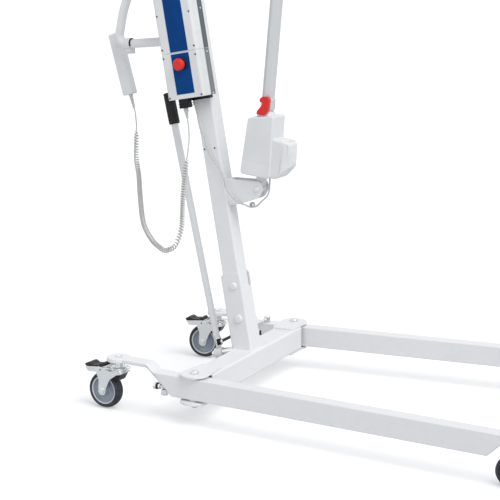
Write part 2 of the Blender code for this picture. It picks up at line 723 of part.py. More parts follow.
def make_mast(mast):
    """Mast: a square tube that leans back out of the foot socket."""
    wall = MAST_SIDE - 2 * MAST_WALL
    shape = plate("mast", [square(MAST_SIDE, 0.0055), square(wall)], "XY", MAST_START,
                  MAST_START + MAST_LENGTH)
    tube_piece = sub_part("mast", shape, GREY_PAINT, mast)
    for height in (FOOT_BOLT_LOW, FOOT_BOLT_HIGH):
        cut(tube_piece, rod("bolt bore", (-0.05, FOOT_BOLT_W, height), (0.05, FOOT_BOLT_W, height),
                            FOOT_BOLT + RUNNING, segments=SMALL_SEGMENTS))
    reach = FOOT_SIDE / 2 + SEAT
    for name, height, size in (("mast_bolt_lower", FOOT_BOLT_LOW, 0.0125),
                               ("mast_bolt_upper", FOOT_BOLT_HIGH, 0.011)):
        at = (FOOT_BOLT_W, height)
        shank = rod(name, (-reach - 0.002, *at), (reach + 0.010, *at), FOOT_BOLT, segments=SMALL_SEGMENTS)
        bolt = sub_part(name, shank, STEEL, mast)
        join(bolt, rod("head", (-reach - 0.007, *at), (-reach, *at), size * 0.9, size),
             plate("nut", [hexagon(0.017, at)], "YZ", reach, reach + 0.008))


def make_mast_head(mast):
    """Mast head: a cap over the top of the mast with two cheeks that carry the boom's hinge."""
    top = MAST_START + MAST_LENGTH + SEAT
    hinge = top + HINGE_RISE
    half = FOOT_SIDE / 2
    skirt = top - HEAD_SKIRT
    eye = 0.024
    side_view = [(-half, skirt, 0), (half, skirt, 0), (half, top + 0.020, 0.012),
                 (HINGE_W + eye, hinge - 0.014, 0.010), (HINGE_W + eye, hinge + eye, eye - 0.0002),
                 (HINGE_W - eye, hinge + eye, eye - 0.0002), (HINGE_W - eye, hinge - 0.010, 0.004),
                 (-half, hinge - 0.030, 0.004)]
    shape = plate("mast_head", [round_corners(side_view, 4)], "YZ", -half, half)
    head = sub_part("mast_head", shape, GREY_PAINT, mast)
    gap = MAST_SIDE / 2 + SEAT
    cut(head, plate("mast room", [square(MAST_SIDE + 2 * SEAT)], "XY", skirt - 0.01, top),
        box("boom room", (-gap, -0.1, top + 0.006), (gap, 0.1, hinge + 0.1)),
        rod("hinge bore", (-0.05, HINGE_W, hinge), (0.05, HINGE_W, hinge), HINGE_BOLT + RUNNING,
            segments=SMALL_SEGMENTS))
    reach = half + SEAT
    at = (HINGE_W, hinge)
    shank = rod("boom_pivot_bolt", (-reach - 0.002, *at), (reach + 0.012, *at), HINGE_BOLT,
                segments=SMALL_SEGMENTS)
    bolt = sub_part("boom_pivot_bolt", shank, STEEL, mast)
    join(bolt, rod("head", (-reach - 0.007, *at), (-reach, *at), 0.0115, 0.013),
         plate("nut", [hexagon(0.022, at)], "YZ", reach, reach + 0.010))
    return Vector((0, *at))


def make_boom(hinge_point):
    """Boom: a rectangular tube with a hub at the mast and, below it, cheeks for the actuator's eye."""
    frame = frame_at("boom hinge", ROOT, hinge_point, (-BOOM_RISE, 0, 0))
    half_wide, half_high = BOOM_WIDE / 2, BOOM_HIGH / 2
    nose = BOOM_LENGTH - NOSE_LUG
    outer = round_corners([(-half_wide, -half_high, 0.006), (half_wide, -half_high, 0.006),
                           (half_wide, half_high, 0.006), (-half_wide, half_high, 0.006)])
    wide, high = half_wide - BOOM_WALL, half_high - BOOM_WALL
    inner = [(-wide, -high), (wide, -high), (wide, high), (-wide, high)]
    boom = sub_part("boom", plate("boom", [outer, inner], "XZ", -nose, -0.006), GREY_PAINT, frame)
    hub = MAST_SIDE / 2
    top, eye = half_high - 0.0005, 0.014
    nose_view = [(-nose + 0.002, -top, 0), (-nose + 0.002, top, 0), (-nose - 0.005, top, 0.004),
                 (-BOOM_LENGTH + 0.024, eye, 0.010), (-BOOM_LENGTH - eye, eye, eye - 0.0001),
                 (-BOOM_LENGTH - eye, -eye, eye - 0.0001), (-BOOM_LENGTH + 0.024, -eye, 0.010),
                 (-nose - 0.005, -top, 0.004)]
    join(boom, rod("hub", (-hub, 0, 0), (hub, 0, 0), BOOM_HUB, segments=16),
         plate("nose", [round_corners(nose_view)], "YZ", -half_wide + 0.001, half_wide - 0.001))
    cheek = LIFT_GAP + 0.004
    low = -LIFT_DROP - 0.018
    side_view = [(-LIFT_REACH - LIFT_CHEEK, -half_high + WELD, 0),
                 (-LIFT_REACH - LIFT_CHEEK, -half_high - 0.008, 0.004), (-LIFT_REACH - 0.030, low, 0.016),
                 (-LIFT_REACH + 0.030, low, 0.016), (-LIFT_REACH + LIFT_CHEEK, -half_high - 0.008, 0.004),
                 (-LIFT_REACH + LIFT_CHEEK, -half_high + WELD, 0)]
    for side in (-1, 1):
        span = sorted((side * LIFT_GAP, side * cheek))
        join(boom, plate("lift cheek", [round_corners(side_view)], "YZ", *span),
             rod("cheek bolt", (side * (cheek - WELD), -LIFT_REACH, -LIFT_DROP),
                 (side * (cheek + 0.005), -LIFT_REACH, -LIFT_DROP), 0.010, segments=SMALL_SEGMENTS))
    lug = 0.0065
    cut(boom, rod("hinge bore", (-0.05, 0, 0), (0.05, 0, 0), bore_for(HINGE_BOLT), segments=SMALL_SEGMENTS),
        rod("vent", (0, -0.76, -0.05), (0, -0.76, 0), 0.004, segments=SMALL_SEGMENTS),
        rod("swing bore", (-0.05, -BOOM_LENGTH, 0), (0.05, -BOOM_LENGTH, 0), bore_for(SWING_RADIUS),
            segments=SMALL_SEGMENTS))
    for side in (-1, 1):
        low_x, high_x = sorted((side * lug, side * 0.04))
        cut(boom, box("clevis room", (low_x, -BOOM_LENGTH - 0.03, -0.05),
                      (high_x, -nose - 0.012, 0.05)))
    return frame


def make_spreader(boom_frame):
    """Hanger that swings on the boom's nose, and the spreader bar that swivels under it."""
    swing = frame_at("spreader swing", ROOT, place(boom_frame, (0, -BOOM_LENGTH, 0)))
    inside, outside = 0.0068, 0.0125
    side_view = [(-0.0135, -0.048, 0), (0.0135, -0.048, 0), (0.0135, 0.0135, 0.0133),
                 (-0.0135, 0.0135, 0.0133)]
    shape = plate("spreader_hanger", [round_corners(side_view, 5)], "YZ", -outside, outside)
    hanger = sub_part("spreader_hanger", shape, ZINC, swing)
    cut(hanger, box("lug room", (-inside, -0.02, -0.034), (inside, 0.02, 0.03)))
    stem, drop = 0.0065, SWIVEL_DROP
    profile = [(0, -0.042), (0.0125, -0.042), (0.0125, -drop + 0.012), (stem, -drop + 0.012),
               (stem, -drop - 0.0125), (0.0105, -drop - 0.0125), (0.0105, -drop - 0.020), (0, -drop - 0.020)]
    join(hanger, rod("swing pin", (-outside - 0.004, 0, 0), (outside + 0.004, 0, 0), SWING_RADIUS,
                     segments=SMALL_SEGMENTS), turned("stem", profile, 10))
    swivel = frame_at("spreader swivel", swing, (0, 0, -drop))
    ends = SPREADER_HALF + 0.025
    low = -SPREADER_DROP
    path = bend([(-ends, 0, low), (-SPREADER_BEND, 0, low), (-SPREADER_FLAT, 0, 0), (SPREADER_FLAT, 0, 0),
                 (SPREADER_BEND, 0, low), (ends, 0, low)], [0.06] * 4, 3)
    bar = sub_part("spreader_bar", tube("spreader_bar", path, SPREADER_TUBE, 2), GREY_PAINT, swivel)
    join(bar, rod("swivel hub", (0, 0, -0.0118), (0, 0, 0.0116), 0.018))
    cut(bar, rod("stem bore", (0, 0, -0.03), (0, 0, 0.03), bore_for(stem), segments=SMALL_SEGMENTS))
    hook = bend([(0, 0, low), (0, 0, low - 0.054), (0, -0.034, low - 0.054), (0, -0.034, low - 0.026)],
                [0.0165, 0.0165], 2)
    for x in (-SPREADER_HALF, SPREADER_HALF):
        side_path = [point + Vector((x, 0, 0)) for point in hook]
        join(bar, tube("hook", side_path, HOOK_WIRE, 1))


def make_handle():
    """Push handle: one bent tube between two heights of the mast's back."""
    points = [(0, *HANDLE_LOW), (0, *HANDLE_CORNER), (0, *HANDLE_SHOULDER), (0, *HANDLE_HIGH)]
    path = bend(points, [0.024, 0.290], 5)
    handle = sub_part("push_handle", tube("push_handle", path, HANDLE_RADIUS, 3), GREY_PAINT, ROOT)
    half = MAST_SIDE / 2 + SEAT
    mast_room = box("mast room", (-0.05, -0.2, 0), (0.05, half, 1.4))
    mast_room.location = (0, MAST_Y, BEAM_TOP + SEAT)
    mast_room.rotation_euler = (-MAST_LEAN, 0, 0)
    cut(handle, mast_room)


def box_profile(front, rear, near, far, near_radius=0.007):
    """Cross-section of the control box, seen along the mast."""
    return round_corners([(near, front, near_radius), (far, front, 0), (far, rear, 0),
                          (near, rear, near_radius)], 4)


def make_control_box(mast):
    """Rail on the mast with the control unit and the battery, and the stop button."""
    rail_near, rail_far = BOX_FAR + SEAT, -MAST_SIDE / 2 - SEAT
    rail = plate("battery_rail", [round_corners([
        (rail_near, BOX_FRONT + RAIL_INSET, 0.001), (rail_far, BOX_FRONT + RAIL_INSET, 0.003),
        (rail_far, BOX_REAR - RAIL_INSET, 0.003), (rail_near, BOX_REAR - RAIL_INSET, 0.001)], 2)],
        "XY", CONTROL_FROM, BATTERY_TO + 0.012)
    sub_part("battery_rail", rail, DARK_PLASTIC, mast)
    section = box_profile(BOX_FRONT, BOX_REAR, BOX_NEAR, BOX_FAR)
    unit = sub_part("control_unit", plate("control_unit", [section], "XY", CONTROL_FROM, CONTROL_TO),
                    LIGHT_PLASTIC, mast)
    ring = BOX_NEAR - STOP_RING
    at = (STOP_W, STOP_T)
    join(unit, rod("stop ring", (BOX_NEAR + WELD, *at), (ring, *at), STOP_CAP + 0.002, STOP_CAP))
    cut(unit, rod("stop bore", (BOX_NEAR + 0.022, *at), (ring - 0.01, *at), bore_for(STOP_STEM),
                  segments=SMALL_SEGMENTS))
    battery = sub_part("battery_pack", plate("battery_pack", [section], "XY", BATTERY_FROM, BATTERY_TO),
                       LIGHT_PLASTIC, mast)
    grip_x = (BOX_NEAR + BOX_FAR) / 2
    grip_front, grip_rear = BOX_FRONT + GRIP_INSET, BOX_REAR - GRIP_INSET
    grip_low, grip_high = BATTERY_TO - 0.002, BATTERY_TO + GRIP_RISE
    grip = bend([(grip_x, grip_front, grip_low), (grip_x, grip_front, grip_high),
                 (grip_x, grip_rear, grip_high), (grip_x, grip_rear, grip_low)], [0.014, 0.014], 4)
    join(battery, tube("battery grip", grip, GRIP_RADIUS, 2))
    press = frame_at("stop press", mast, (ring, *at))
    stem_in = 0.016
    cap_low = STOP_TRAVEL + 0.0015
    profile = [(0, 0.022), (STOP_CAP * 0.55, 0.0215), (STOP_CAP * 0.9, 0.0185), (STOP_CAP, 0.015),
               (STOP_CAP, cap_low + 0.002), (STOP_CAP - 0.002, cap_low), (STOP_STEM, cap_low),
               (STOP_STEM, -stem_in), (0, -stem_in)]
    out = Matrix.Rotation(-math.pi / 2, 4, "Y")
    sub_part("emergency_stop", turned("emergency_stop", profile, TUBE_STEPS, out), RED_PLASTIC, press)


def make_sockets(mast):
    """Sockets under the box and the two plugs in them."""
    top = CONTROL_FROM - SEAT
    low = top - SOCKET_DEEP
    handset_socket = plate("handset_socket", [round_corners([
        (SOCKET_X - 0.012, SOCKET_W - 0.018, 0.003), (SOCKET_X + 0.012, SOCKET_W - 0.018, 0.003),
        (SOCKET_X + 0.012, SOCKET_W + 0.018, 0.003), (SOCKET_X - 0.012, SOCKET_W + 0.018, 0.003)], 2)],
        "XY", low, top)
    sub_part("handset_socket", handset_socket, BLACK_PLASTIC, mast)
    cable_low = top - CABLE_SOCKET_DEEP
    cable_socket = plate("actuator_socket", [round_corners([
        (CABLE_SOCKET_X - 0.010, -0.038, 0.002), (CABLE_SOCKET_X + 0.010, -0.038, 0.002),
        (CABLE_SOCKET_X + 0.010, 0.026, 0.002), (CABLE_SOCKET_X - 0.010, 0.026, 0.002)], 2)],
        "XY", cable_low, top)
    sub_part("actuator_socket", cable_socket, BLACK_PLASTIC, mast)
    ends = []
    for name, x, w, start, length in (
            ("handset_plug", SOCKET_X, SOCKET_W, low, PLUG_LENGTH),
            ("actuator_plug", CABLE_SOCKET_X, CABLE_SOCKET_W, cable_low, CABLE_PLUG_LENGTH)):
        start -= SEAT
        profile = [(0, start), (0.0065, start), (0.0068, start - length * 0.35),
                   (0.0050, start - length * 0.45), (0.0050, start - length * 0.60),
                   (0.0040, start - length * 0.75), (0.0032, start - length), (0, start - length)]
        plug = sub_part(name, turned(name, profile, SMALL_SEGMENTS), CORD_GREY, mast)
        plug.location = (x, w, 0)
        ends.append(place(mast, (x, w, start - length - SEAT)))
    return ends


def make_actuator():
    """Actuator between the mast's bracket and the boom, drawn along its own axis."""
    lift_point = place(BOOM, (0, -LIFT_REACH, -LIFT_DROP))
    pin_point = Vector((0, PIN_Y, PIN_Z))
    reach = (lift_point - pin_point).length
    lean = math.atan2(pin_point.y - lift_point.y, lift_point.z - pin_point.z)
    frame = frame_at("actuator pin", ROOT, pin_point, (lean, 0, 0))
    make_actuator_bracket()
    shank = rod("actuator_pin", (-BRACKET_HALF - 0.002, 0, 0), (BRACKET_HALF + 0.008, 0, 0), PIN_RADIUS,
                segments=SMALL_SEGMENTS)
    pin = sub_part("actuator_pin", shank, STEEL, ROOT)
    pin.location = pin_point
    edge = BRACKET_HALF + SEAT
    join(pin, rod("head", (-edge - 0.004, 0, 0), (-edge, 0, 0), 0.008, 0.009, SMALL_SEGMENTS),
         plate("nut", [hexagon(0.016)], "YZ", edge, edge + 0.006))
    main = [(0.0475, 0.034, 0.012), (-0.0405, 0.050, 0.014), (-0.0370, 0.206, 0.012),
            (0.0365, 0.191, 0.010)]
    shape = plate("actuator_housing", [round_corners(main, 3)], "YZ", -HOUSING_HALF, HOUSING_HALF, 0.009, 2)
    housing = sub_part("actuator_housing", shape, LIGHT_PLASTIC, frame)
    motor = [(-0.020, 0.150, 0.004), (-0.088, 0.1435, 0.014), (-0.096, 0.078, 0.022),
             (-0.062, 0.046, 0.020), (-0.020, 0.048, 0.004)]
    lug = LUG_RADIUS
    join(housing, plate("motor cover", [round_corners(motor, 4)], "YZ", -0.030, 0.030, 0.010, 2),
         rod("lower eye", (-LUG_HALF, 0, 0), (LUG_HALF, 0, 0), lug),
         box("eye web", (-LUG_HALF + 0.0005, -lug * 0.9, 0), (LUG_HALF - 0.0005, lug * 0.9, 0.060)),
         rod("cable gland", (0, GLAND_W, GLAND_T), (0, GLAND_W, GLAND_T + 0.03), GLAND_RADIUS,
             segments=SMALL_SEGMENTS))
    cut(housing, rod("tube bore", (0, 0, TUBE_FROM - SEAT), (0, 0, 0.3), bore_for(TUBE_RADIUS, TUBE_STEPS),
                     segments=TUBE_STEPS),
        rod("pin bore", (-0.05, 0, 0), (0.05, 0, 0), bore_for(PIN_RADIUS), segments=SMALL_SEGMENTS))
    inside = bore_for(ROD_RADIUS, TUBE_STEPS)
    foot = TUBE_FROM + 0.013
    cap = TUBE_RADIUS + 0.002
    profile = [(0, foot), (inside, foot), (inside, TUBE_TO), (cap, TUBE_TO), (cap, TUBE_TO - 0.012),
               (TUBE_RADIUS, TUBE_TO - 0.014), (TUBE_RADIUS, COLLAR_TO), (COLLAR_RADIUS, COLLAR_TO - 0.001),
               (COLLAR_RADIUS, COLLAR_FROM), (TUBE_RADIUS, COLLAR_FROM - 0.001), (TUBE_RADIUS, TUBE_FROM),
               (0, TUBE_FROM)]
    sub_part("actuator_tube", turned("actuator_tube", profile, TUBE_STEPS), GREY_PAINT, frame)
    rod_frame = frame_at("actuator eye", frame, (0, 0, reach))
    rod_piece = sub_part("actuator_rod", rod("actuator_rod", (0, 0, TUBE_TO - ROD_OVERLAP - reach), (0, 0, 0),
                                             ROD_RADIUS), STEEL, rod_frame)
    join(rod_piece, rod("eye", (-EYE_HALF, 0, 0), (EYE_HALF, 0, 0), EYE_RADIUS),
         rod("eye bush", (-EYE_HALF - 0.0012, 0, 0), (EYE_HALF + 0.0012, 0, 0), 0.0075,
             segments=SMALL_SEGMENTS))
    make_quick_release(frame)
    return place(frame, (0, GLAND_W, GLAND_T - GLAND_ROOM))


def make_actuator_bracket():
    """Bracket on the mast's front: two plates round the actuator's lower eye and a back plate."""
    half = MAST_SIDE / 2
    back = half + SEAT
    face_z = PIN_Z - (BEAM_TOP + SEAT)
    mast_front = MAST_Y + face_z * math.tan(MAST_LEAN) - back / math.cos(MAST_LEAN)
    side_view = [(mast_front - 0.0091, 0.534, 0), (0.015, 0.539, 0), (-0.044, 0.560, 0.016),
                 (-0.0575, 0.5845, 0.016), (-0.050, 0.6065, 0.010), (mast_front + 0.0041, 0.6065, 0)]
    shape = plate("actuator_bracket", [round_corners(side_view)], "YZ", -BRACKET_HALF, BRACKET_HALF)
    bracket = sub_part("actuator_bracket", shape, GREY_PAINT, ROOT)
    inside = BRACKET_HALF - BRACKET_PLATE
    cut(bracket, box("eye room", (-inside, -0.1, 0.5), (inside, mast_front - 0.013, 0.7)),
        rod("pin bore", (-0.05, PIN_Y, PIN_Z), (0.05, PIN_Y, PIN_Z), PIN_RADIUS + RUNNING,
            segments=SMALL_SEGMENTS))
    mast_room = box("mast room", (-0.1, -back, 0), (0.1, 0.2, 1.0))
    mast_room.location = (0, MAST_Y, BEAM_TOP + SEAT)
    mast_room.rotation_euler = (-MAST_LEAN, 0, 0)
    cut(bracket, mast_room)


def make_quick_release(frame):
    """Red quick-release catch that slides up beside the actuator's collar."""
    side_view = [(-0.006, 0.203, 0.004), (0.016, 0.2035, 0.004), (0.014, 0.216, 0.006),
                 (0.0, 0.2325, 0.003), (0.009, 0.240, 0.003), (0.009, 0.2475, 0.003),
                 (-0.002, 0.2535, 0.005), (-0.013, 0.253, 0.005), (-0.018, 0.246, 0.006),
                 (-0.0165, 0.214, 0.006)]
    far = -COLLAR_RADIUS - SEAT
    shape = plate("quick_release", [round_corners(side_view)], "YZ", far - 0.013, far)
    sub_part("quick_release", shape, RED_PLASTIC, frame)


def make_lever():
    """Lever that spreads the legs, with its rocker, its bracket and the two tie rods."""
    pivot = frame_at("lever pivot", ROOT, (0, LEVER_Y, LEVER_Z), (-LEVER_LEAN, 0, 0))
    lever_frame = frame_at("lever", pivot, (0, 0, 0), (0, LEVER_TILT, 0))
    rocker = round_corners([(-0.0105, -ROCKER_DOWN - 0.010, 0.010), (0.0105, -ROCKER_DOWN - 0.010, 0.010),
                            (0.0105, ROD_START + 0.012, 0.004), (-0.0105, ROD_START + 0.012, 0.004)], 4)
    shape = plate("spread_lever", [rocker], "XZ", -ROCKER_HALF, ROCKER_HALF)
    lever = sub_part("spread_lever", shape, GREY_PAINT, lever_frame)
    hub = LEVER_HUB_HALF
    pin_out = ROCKER_HALF + 2 * TIE_EYE_HALF + 0.003
    join(lever, rod("hub", (0, -hub, 0), (0, hub, 0), LEVER_HUB),
         rod("lever tube", (0, 0, ROD_START), (0, 0, GRIP_START + 0.020), 0.0090, LEVER_TUBE),
         rod("upper pin", (0, 0, ROCKER_UP), (0, -pin_out, ROCKER_UP), TIE_PIN, segments=SMALL_SEGMENTS),
         rod("lower pin", (0, 0, -ROCKER_DOWN), (0, pin_out, -ROCKER_DOWN), TIE_PIN, segments=SMALL_SEGMENTS))
    cut(lever, rod("stud bore", (0, -0.05, 0), (0, 0.05, 0), bore_for(LEVER_STUD), segments=SMALL_SEGMENTS))
    grip_inside = bore_for(LEVER_TUBE, TUBE_STEPS)
    profile = [(0, GRIP_END), (0.0125, GRIP_END - 0.0005), (0.0150, GRIP_END - 0.004),
               (0.0150, GRIP_START + 0.004), (0.0140, GRIP_START), (grip_inside, GRIP_START),
               (grip_inside, GRIP_START + 0.0205), (0, GRIP_START + 0.0205)]
    sub_part("lever_grip", turned("lever_grip", profile, TUBE_STEPS), BLACK_PLASTIC, lever_frame)
    make_lever_bracket(pivot)
    pin_up = place(lever_frame, (0, 0, ROCKER_UP))
    pin_down = place(lever_frame, (0, 0, -ROCKER_DOWN))
    out = Vector((0, math.cos(LEVER_LEAN), -math.sin(LEVER_LEAN)))
    eye_offset = ROCKER_HALF + SEAT + TIE_EYE_HALF
    make_tie_rod("left", pin_up, -eye_offset * out, place(LEG_LEFT, (0, TIE_UP_REACH, TIE_UP_Z)), out, -1)
    make_tie_rod("right", pin_down, eye_offset * out, place(LEG_RIGHT, (0, TIE_DOWN_REACH, TIE_DOWN_Z)),
                 out, 1)


def make_lever_bracket(pivot):
    """Bracket on the beam's back with the stud that the lever turns on."""
    back = BEAM_REAR + SEAT
    base = plate("lever_bracket", [round_corners([
        (-0.030, BEAM_BOTTOM + 0.008, 0.006), (0.030, BEAM_BOTTOM + 0.008, 0.006),
        (0.030, BEAM_TOP - 0.005, 0.006), (-0.030, BEAM_TOP - 0.005, 0.006)], 2)],
        "XZ", back, back + 0.005)
    bracket = sub_part("lever_bracket", base, ZINC, ROOT)
    out = Vector((0, math.cos(LEVER_LEAN), -math.sin(LEVER_LEAN)))
    centre = Vector((0, LEVER_Y, LEVER_Z))
    hub = LEVER_HUB_HALF + SEAT
    start = centre - out * ((LEVER_Y - back - 0.0035) / math.cos(LEVER_LEAN))
    join(bracket, rod("boss", start, centre - out * hub, 0.011),
         rod("stud", centre - out * (hub + 0.01), centre + out * (hub + 0.011), LEVER_STUD,
             segments=SMALL_SEGMENTS),
         rod("nut", centre + out * hub, centre + out * (hub + 0.007), 0.010, segments=6))


def make_tie_rod(side_name, pin, offset, ball_point, out, opening):
    """Tie rod: an eye on the rocker's pin and an open cup round the ball on a leg."""
    frame = frame_at(f"tie rod pin {side_name}", ROOT, pin)
    eye = offset
    cup = ball_point - pin
    way = (cup - eye).normalized()
    name = f"tie_rod_{side_name}"
    shank = rod(name, eye + way * (TIE_EYE - 0.002), cup - way * 0.008, TIE_ROD, segments=SMALL_SEGMENTS)
    tie = sub_part(name, shank, BLACK_PLASTIC, frame)
    half = TIE_EYE_HALF
    room = BALL + BALL_ROOM
    wall = 0.0022
    roof = -opening * (room - 0.0002)
    rim = opening * 0.0065
    up = Vector((0, 0, 1))
    join(tie, rod("eye", eye - out * half, eye + out * half, TIE_EYE, segments=TUBE_STEPS),
         rod("cup", cup + up * (roof - opening * wall), cup + up * rim, room + wall, segments=TUBE_STEPS))
    cut(tie, rod("eye bore", eye - out * 0.02, eye + out * 0.02, bore_for(TIE_PIN), segments=SMALL_SEGMENTS),
        rod("cup bore", cup + up * roof, cup + up * (rim + opening * 0.01), room, segments=TUBE_STEPS))


def make_handset():
    """Handset that hangs by its hook on the push handle, with its two buttons."""
    frame = frame_at("handset", ROOT, (HANDSET_X, *HANDSET_FOOT), (-HANDSET_LEAN, 0, 0))
    wide, thick = HANDSET_WIDE / 2, HANDSET_THICK / 2
    face = [(-wide, 0, 0.006), (wide, 0, 0.006), (wide - 0.001, HANDSET_LONG, 0.008),
            (-wide + 0.001, HANDSET_LONG, 0.008)]
    shape = plate("handset_body", [round_corners(face)], "YZ", -thick, thick, 0.004, 1)
    body = sub_part("handset_body", shape, LIGHT_PLASTIC, frame)
    for name, height in (("handset_button_up", 0.130), ("handset_button_down", 0.098)):
        cut(body, rod("button well", (thick - 0.006, 0, height), (thick + 0.01, 0, height),
                      BUTTON_RADIUS + RUNNING))
        press = frame_at(f"{name} press", frame, (thick, 0, height))
        low = -0.006 + SEAT + BUTTON_TRAVEL
        button = rod(name, (low, 0, 0), (0.0020, 0, 0), BUTTON_RADIUS, BUTTON_RADIUS - 0.001)
        sub_part(name, button, DARK_PLASTIC, press)
    relief = [(0, -SEAT), (0.0062, -SEAT), (0.0055, -0.012), (0.0036, -RELIEF_LENGTH), (0, -RELIEF_LENGTH)]
    sub_part("handset_relief", turned("handset_relief", relief, SMALL_SEGMENTS), CORD_GREY, frame)
    make_hook()
    return [place(frame, (0, 0, -RELIEF_LENGTH - SEAT - on)) for on in (0, CORD_STRAIGHT)]


def make_hook():
    """Hook on the handset's back, over the lower tube of the push handle."""
    low, corner = Vector(HANDLE_LOW), Vector(HANDLE_CORNER)
    slope = (corner - low).normalized()
    along = (HOOK_Y - low.x) / slope.x
    centre = low + slope * along
    frame = frame_at("handset hook", ROOT, (0, centre.x, centre.y), (math.atan2(slope.y, slope.x), 0, 0))
    end = 235
    outer = [(HOOK_OUTER * math.cos(math.radians(a)), HOOK_OUTER * math.sin(math.radians(a)))
             for a in range(0, end + 1, 15)]
    inner = [(HOOK_INNER * math.cos(math.radians(a)), HOOK_INNER * math.sin(math.radians(a)))
             for a in range(end, -1, -15)]
    tip = [(-0.0125, -0.0200), (-0.0110, -0.0215)]
    strap = [(HOOK_INNER, -HOOK_DEEP), (HOOK_OUTER, -HOOK_DEEP)]
    half = HOOK_LONG / 2
    shape = plate("handset_hook", [outer + tip + inner + strap], "XZ", -half, half)
    hook = sub_part("handset_hook", shape, LIGHT_PLASTIC, frame)
    arm = round_corners([(-half + 0.001, -HOOK_DEEP + 0.001, 0), (0.068, -HOOK_DEEP + 0.001, 0.006),
                         (0.068, -0.010, 0.006), (-half + 0.001, -0.010, 0)])
    join(hook, plate("arm", [arm], "YZ", HOOK_INNER, HOOK_OUTER))


def smooth_route(route, spacing):
    """Points at an even spacing on a smooth curve through a route's points."""
    points = np.array(route, dtype=float)
    before = 2 * points[0] - points[1]
    after = 2 * points[-1] - points[-2]
    points = np.vstack([before, points, after])
    dense = []
    for p0, p1, p2, p3 in zip(points, points[1:], points[2:], points[3:]):
        for t in np.linspace(0, 1, 24, endpoint=False):
            dense.append(0.5 * (2 * p1 + (p2 - p0) * t + (2 * p0 - 5 * p1 + 4 * p2 - p3) * t ** 2
                                + (3 * p1 - p0 - 3 * p2 + p3) * t ** 3))
    dense.append(points[-2])
    dense = np.array(dense)
    run = np.concatenate([[0], np.cumsum(np.linalg.norm(np.diff(dense, axis=0), axis=1))])
    count = max(2, round(run[-1] / spacing) + 1)
    marks = np.linspace(0, run[-1], count)
    return np.column_stack([np.interp(marks, run, dense[:, k]) for k in range(3)]), run[-1]


def carried_frames(path):
    """Two directions square to a path at each of its points, carried along without twist."""
    ways = np.gradient(path, axis=0)
    ways /= np.linalg.norm(ways, axis=1)[:, None]
    side = np.cross(ways[0], (1.0, 0.0, 0.0))
    side /= np.linalg.norm(side)
    sides, others = [], []
    for way in ways:
        side = side - way * side.dot(way)
        side /= np.linalg.norm(side)
        sides.append(side)
        others.append(np.cross(way, side))
    return ways, np.array(sides), np.array(others)


def curled(route, count, radius, wire):
    """The centre line of a curly cord whose curls follow a route, straight at both ends."""
    steps = count * CURL_POINTS
    path, length = smooth_route(route, 1e-4)
    marks = np.linspace(0, len(path) - 1, steps + 1)
    keys = np.arange(len(path))
    ways, sides, others = carried_frames(path)
    angle = np.arange(steps + 1) * 2 * math.pi / CURL_POINTS
    ramp = np.clip(np.minimum(np.arange(steps + 1), steps - np.arange(steps + 1)) / CURL_POINTS, 0, 1)
    reach = radius * ramp * ramp * (3 - 2 * ramp)
    curl = np.column_stack([
        np.interp(marks, keys, path[:, k]) + reach * (np.cos(angle) * np.interp(marks, keys, sides[:, k])
                                                      + np.sin(angle) * np.interp(marks, keys, others[:, k]))
        for k in range(3)])
    start = path[0] - ways[0] * 2 * wire
    end = path[-1] + ways[-1] * 2 * wire
    return np.vstack([start, curl, end]), length


def least_gap(path, wire, turn):
    """Least gap of a curled tube to its own next turns."""
    least = math.inf
    for i in range(len(path) - turn):
        near = path[i + turn // 2 + 1:i + 2 * turn]
        if len(near) > 1:
            least = min(least, nearest_on(path[i], near))
    return least - 2 * wire


def nearest_on(point, chain):
    """Least distance from a point to a chain of points."""
    start, way = chain[:-1], np.diff(chain, axis=0)
    share = np.clip(((point - start) * way).sum(axis=1) / (way * way).sum(axis=1), 0, 1)
    return np.linalg.norm(start + way * share[:, None] - point, axis=1).min()


# Routes of the cords, from the point midway between the leg pivots on the floor
CURL_ROUTE = [(0.030, 0.367, 0.720), (0.022, 0.363, 0.681), (0.008, 0.355, 0.637), (-0.012, 0.336, 0.595),
              (-0.050, 0.309, 0.535), (-0.092, 0.275, 0.477), (-0.119, 0.234, 0.440),
              (-0.129, 0.204, 0.423), (-0.132, 0.184, 0.416), (-0.131, 0.157, 0.428),
              (-0.127, 0.144, 0.454), (-0.119, 0.139, 0.484), (-0.106, 0.143, 0.534),
              (-0.095, 0.146, 0.585), (-0.087, 0.145, 0.628), (-0.081, 0.142, 0.666)]
PLUG_ROUTE = [(-0.0782, 0.1368, 0.712), (-0.0780, 0.1370, 0.735), (-0.0780, 0.1385, 0.755)]
CABLE_ROUTE = [(-0.0450, 0.1254, 0.7624), (-0.0425, 0.1205, 0.740), (-0.036, 0.113, 0.718),
               (-0.034, 0.104, 0.688), (-0.034, 0.083, 0.652), (-0.034, 0.064, 0.630),
               (-0.035, 0.053, 0.605), (-0.036, 0.049, 0.580), (-0.034, 0.034, 0.552),
               (-0.028, 0.014, 0.534), (-0.018, 0.000, 0.530), (-0.006, -0.006, 0.522),
               (0.004, -0.012, 0.514), (0.008, -0.022, 0.520), (0.002, -0.028, 0.530),
               (-0.006, -0.036, 0.534), (-0.006, -0.048, 0.546), (-0.003, -0.062, 0.562),
               (-0.0005, -0.0665, 0.580), (0.0, -0.0675, 0.596)]


